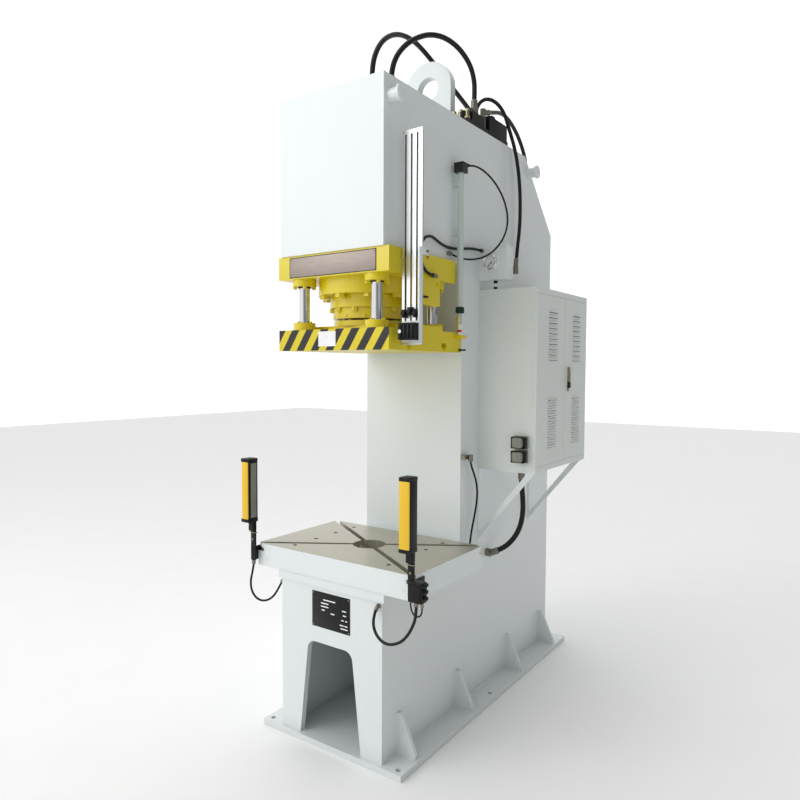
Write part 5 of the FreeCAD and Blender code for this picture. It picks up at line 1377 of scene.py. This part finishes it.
# ---------------------------------------------------------------- light curtains
class PRESS_OT_curtains(bpy.types.Operator):
    """Make both light-curtain bars with their brackets, and the relay box"""
    bl_idname = "press.curtains"
    bl_label = "Light curtains"

    def execute(self, context):
        for side, node in ((-1, "curtain_bar_left"), (1, "curtain_bar_right")):
            self.bar(side, node)
        self.relay_box()
        return {"FINISHED"}

    def bar(self, side, node):
        low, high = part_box(node)
        bottom, top = 0.868, high.z
        x, half_x = side * 0.403, 0.0225
        front, rear = low.y, low.y + 0.052
        name = "left" if side < 0 else "right"
        face, body, window = bmesh.new(), bmesh.new(), bmesh.new()
        add_box(body, Vector((x - half_x, front + 0.004, bottom + 0.012)),
                Vector((x + half_x, rear, top - 0.012)), 0.0025)
        for z0, z1 in ((bottom, bottom + 0.016), (top - 0.016, top)):
            add_box(body, Vector((x - half_x - 0.001, front, z0)),
                    Vector((x + half_x + 0.001, rear + 0.001, z1)), 0.003)
        shrink = 0.0045 if side < 0 else 0.001
        add_box(face, Vector((x - half_x + shrink, front + 0.0002, bottom + 0.014)),
                Vector((x + half_x - shrink, front + 0.012, top - 0.014)), 0.002)
        inner = x - side * half_x
        spots = sorted((inner - side * 0.0012, inner + side * 0.002))
        add_box(window, Vector((spots[0], front + 0.013, bottom + 0.020)),
                Vector((spots[1], rear - 0.008, top - 0.020)), 0.0005, 1)
        self.bracket(body, side, x, rear, low)
        make_piece(name + "_curtain_body", body, "black", "frame", replaced=(node,))
        make_piece(name + "_curtain_face", face, "curtain", "frame")
        make_piece(name + "_curtain_window", window, "grey", "frame")
        band = bmesh.new()
        add_box(band, Vector((x - 0.016, rear - 0.012, 0.817)), Vector((x + 0.016, rear + 0.004, 0.821)),
                0.0008, 1)
        add_cap_screw(band, Vector((x, rear - 0.008, 0.845)), -Y_AXIS, 0.005, 0.004)
        add_cap_screw(band, Vector((x, rear - 0.008, 0.790)), -Y_AXIS, 0.005, 0.004)
        for height in (0.715, 0.743):
            add_cap_screw(band, Vector((side * 0.406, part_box("table_plate")[0].y + 0.030, height)),
                          side * X_AXIS,
                          0.006, 0.005)
        make_piece(name + "_curtain_screws", band, "zinc", "frame")

    def bracket(self, bm, side, x, rear, low):
        """Stem, folded foot and web, as one black bracket."""
        add_box(bm, Vector((x - 0.013, rear - 0.008, low.z)), Vector((x + 0.013, rear, 0.872)), 0.0015)
        add_box(bm, Vector((x - 0.015, rear - 0.020, 0.826)), Vector((x + 0.015, rear, 0.872)), 0.003)
        near, far = sorted((side * 0.400, side * 0.406))
        add_box(bm, Vector((near, rear - 0.008, low.z)), Vector((far, at(0, 0.062, 0).y, 0.758)), 0.0012)
        inner, outer = sorted((side * 0.400, x + side * 0.013))
        add_box(bm, Vector((inner, rear - 0.008, low.z)), Vector((outer, rear, 0.758)), 0.0012)

    def relay_box(self):
        low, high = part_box("relay_box")
        bm, knobs = bmesh.new(), bmesh.new()
        add_box(bm, low, high, 0.004, 3)
        add_box(bm, Vector((low.x + 0.004, low.y - 0.003, low.z + 0.008)),
                Vector((high.x - 0.004, low.y + 0.004, high.z - 0.008)), 0.002)
        for z in (0.020, 0.044, 0.068):
            spot = Vector((high.x, (low.y + high.y) / 2, low.z + z))
            add_turned(knobs, [(0, 0.008), (0.004, 0.008), (0.005, 0.0065), (0.013, 0.0065),
                               (0.014, 0.0055), (0.014, 0)],
                       spot, X_AXIS, 12)
        make_piece("relay_case", bm, "black", "frame", replaced=("relay_box",))
        make_piece("relay_knobs", knobs, "black", "frame")


# ---------------------------------------------------------------- power unit
class PRESS_OT_hydraulics(bpy.types.Operator):
    """Finish the valves on top and the motor and pump inside"""
    bl_idname = "press.hydraulics"
    bl_label = "Hydraulics"

    def execute(self, context):
        coat("casting", "motor_housing", "pump_body")
        coat("zinc", "motor_rotor")
        coat("valve", "valve_manifold")
        self.valves()
        self.motor_fins()
        return {"FINISHED"}

    def valves(self):
        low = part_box("valve_manifold")[0]
        roof = low.z + 0.034
        coils, brass, plugs = bmesh.new(), bmesh.new(), bmesh.new()
        for y0, y1, height in ((0.688, 0.800, 0.044), (0.850, 1.030, 0.070)):
            for end, way in ((y0, -1), (y1, 1)):
                start = Vector((0.200, at(0, end, 0).y, roof + height * 0.55))
                span = 0.030 if way < 0 else 0.006
                add_turned(coils, [(0, 0.017), (0.002, 0.019), (span * 0.9, 0.019), (span, 0.014),
                                   (span + 0.004, 0.006),
                                   (span + 0.004, 0)], start, Y_AXIS * way, 28)
            middle = at(0.200, (y0 + y1) / 2, roof + height)
            add_box(plugs, middle + Vector((-0.020, -0.034, -0.002)),
                    middle + Vector((0.020, 0.000, 0.022)), 0.004)
            for x in (-0.026, 0.026):
                for y in (-0.040, 0.040):
                    add_cap_screw(brass, middle + Vector((x, y, 0)), Z_AXIS, 0.006, 0.006)
        for x, y in ((0.156, 0.665), (0.190, 0.662), (0.156, 0.700), (0.222, 0.668)):
            spot = at(x, y, roof)
            add_bolt(brass, spot, Z_AXIS, 0.014, 0.014)
            add_rod(brass, spot + Z_AXIS * 0.014, spot + Z_AXIS * 0.034, 0.009, 20)
            add_bolt(brass, spot + Z_AXIS * 0.034, Z_AXIS, 0.012, 0.012)
        make_piece("valve_coils", coils, "black", "frame")
        make_piece("valve_plugs", plugs, "black", "frame")
        make_piece("valve_fittings", brass, "zinc", "frame")

    def motor_fins(self):
        low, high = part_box("motor_housing")
        bm = bmesh.new()
        length = high.y - low.y
        add_box(bm, Vector((-0.0015, 0.116, 0.030)), Vector((0.0015, 0.132, length - 0.030)), 0.0008, 1)
        make_piece("motor_fins", bm, "casting", "frame", ring_tree(),
                   {"Count": 26, "Step": math.radians(9.5), "Tilt": (-math.pi / 2, math.radians(-119), 0),
                    "Centre": (0.0, low.y, 2.130)})


class PRESS_PT_panel(bpy.types.Panel):
    """Lists the press's pieces and their settings"""
    bl_label = "Hydraulic press"
    bl_idname = "PRESS_PT_panel"
    bl_space_type = "VIEW_3D"
    bl_region_type = "UI"
    bl_category = "Press"

    def draw(self, context):
        for group in ("press_colours", "press_details", "press_stage"):
            settings = getattr(context.scene, group)
            column = self.layout.column(align=True)
            for item in settings.bl_rna.properties:
                if item.identifier not in ("rna_type", "name"):
                    column.prop(settings, item.identifier)
        for operator in OPERATORS:
            self.layout.operator(operator.bl_idname)


OPERATORS = (PRESS_OT_stage, PRESS_OT_hoses, PRESS_OT_body, PRESS_OT_table, PRESS_OT_cylinder, PRESS_OT_ram,
             PRESS_OT_switches, PRESS_OT_probe, PRESS_OT_gauge, PRESS_OT_cabinet, PRESS_OT_curtains,
             PRESS_OT_hydraulics)
GROUPS = {"press_colours": PressColours, "press_details": PressDetails, "press_stage": StageSettings}


def register():
    for group, settings in GROUPS.items():
        bpy.utils.register_class(settings)
        setattr(bpy.types.Scene, group, PointerProperty(type=settings))
    for item in OPERATORS + (PRESS_PT_panel,):
        bpy.utils.register_class(item)


def unregister():
    for item in (PRESS_PT_panel,) + OPERATORS[::-1]:
        bpy.utils.unregister_class(item)
    for group, settings in GROUPS.items():
        delattr(bpy.types.Scene, group)
        bpy.utils.unregister_class(settings)


def main():
    register()
    for operator in OPERATORS:
        group, name = operator.bl_idname.split(".")
        getattr(getattr(bpy.ops, group), name)()


if __name__ == "__main__":
    main()
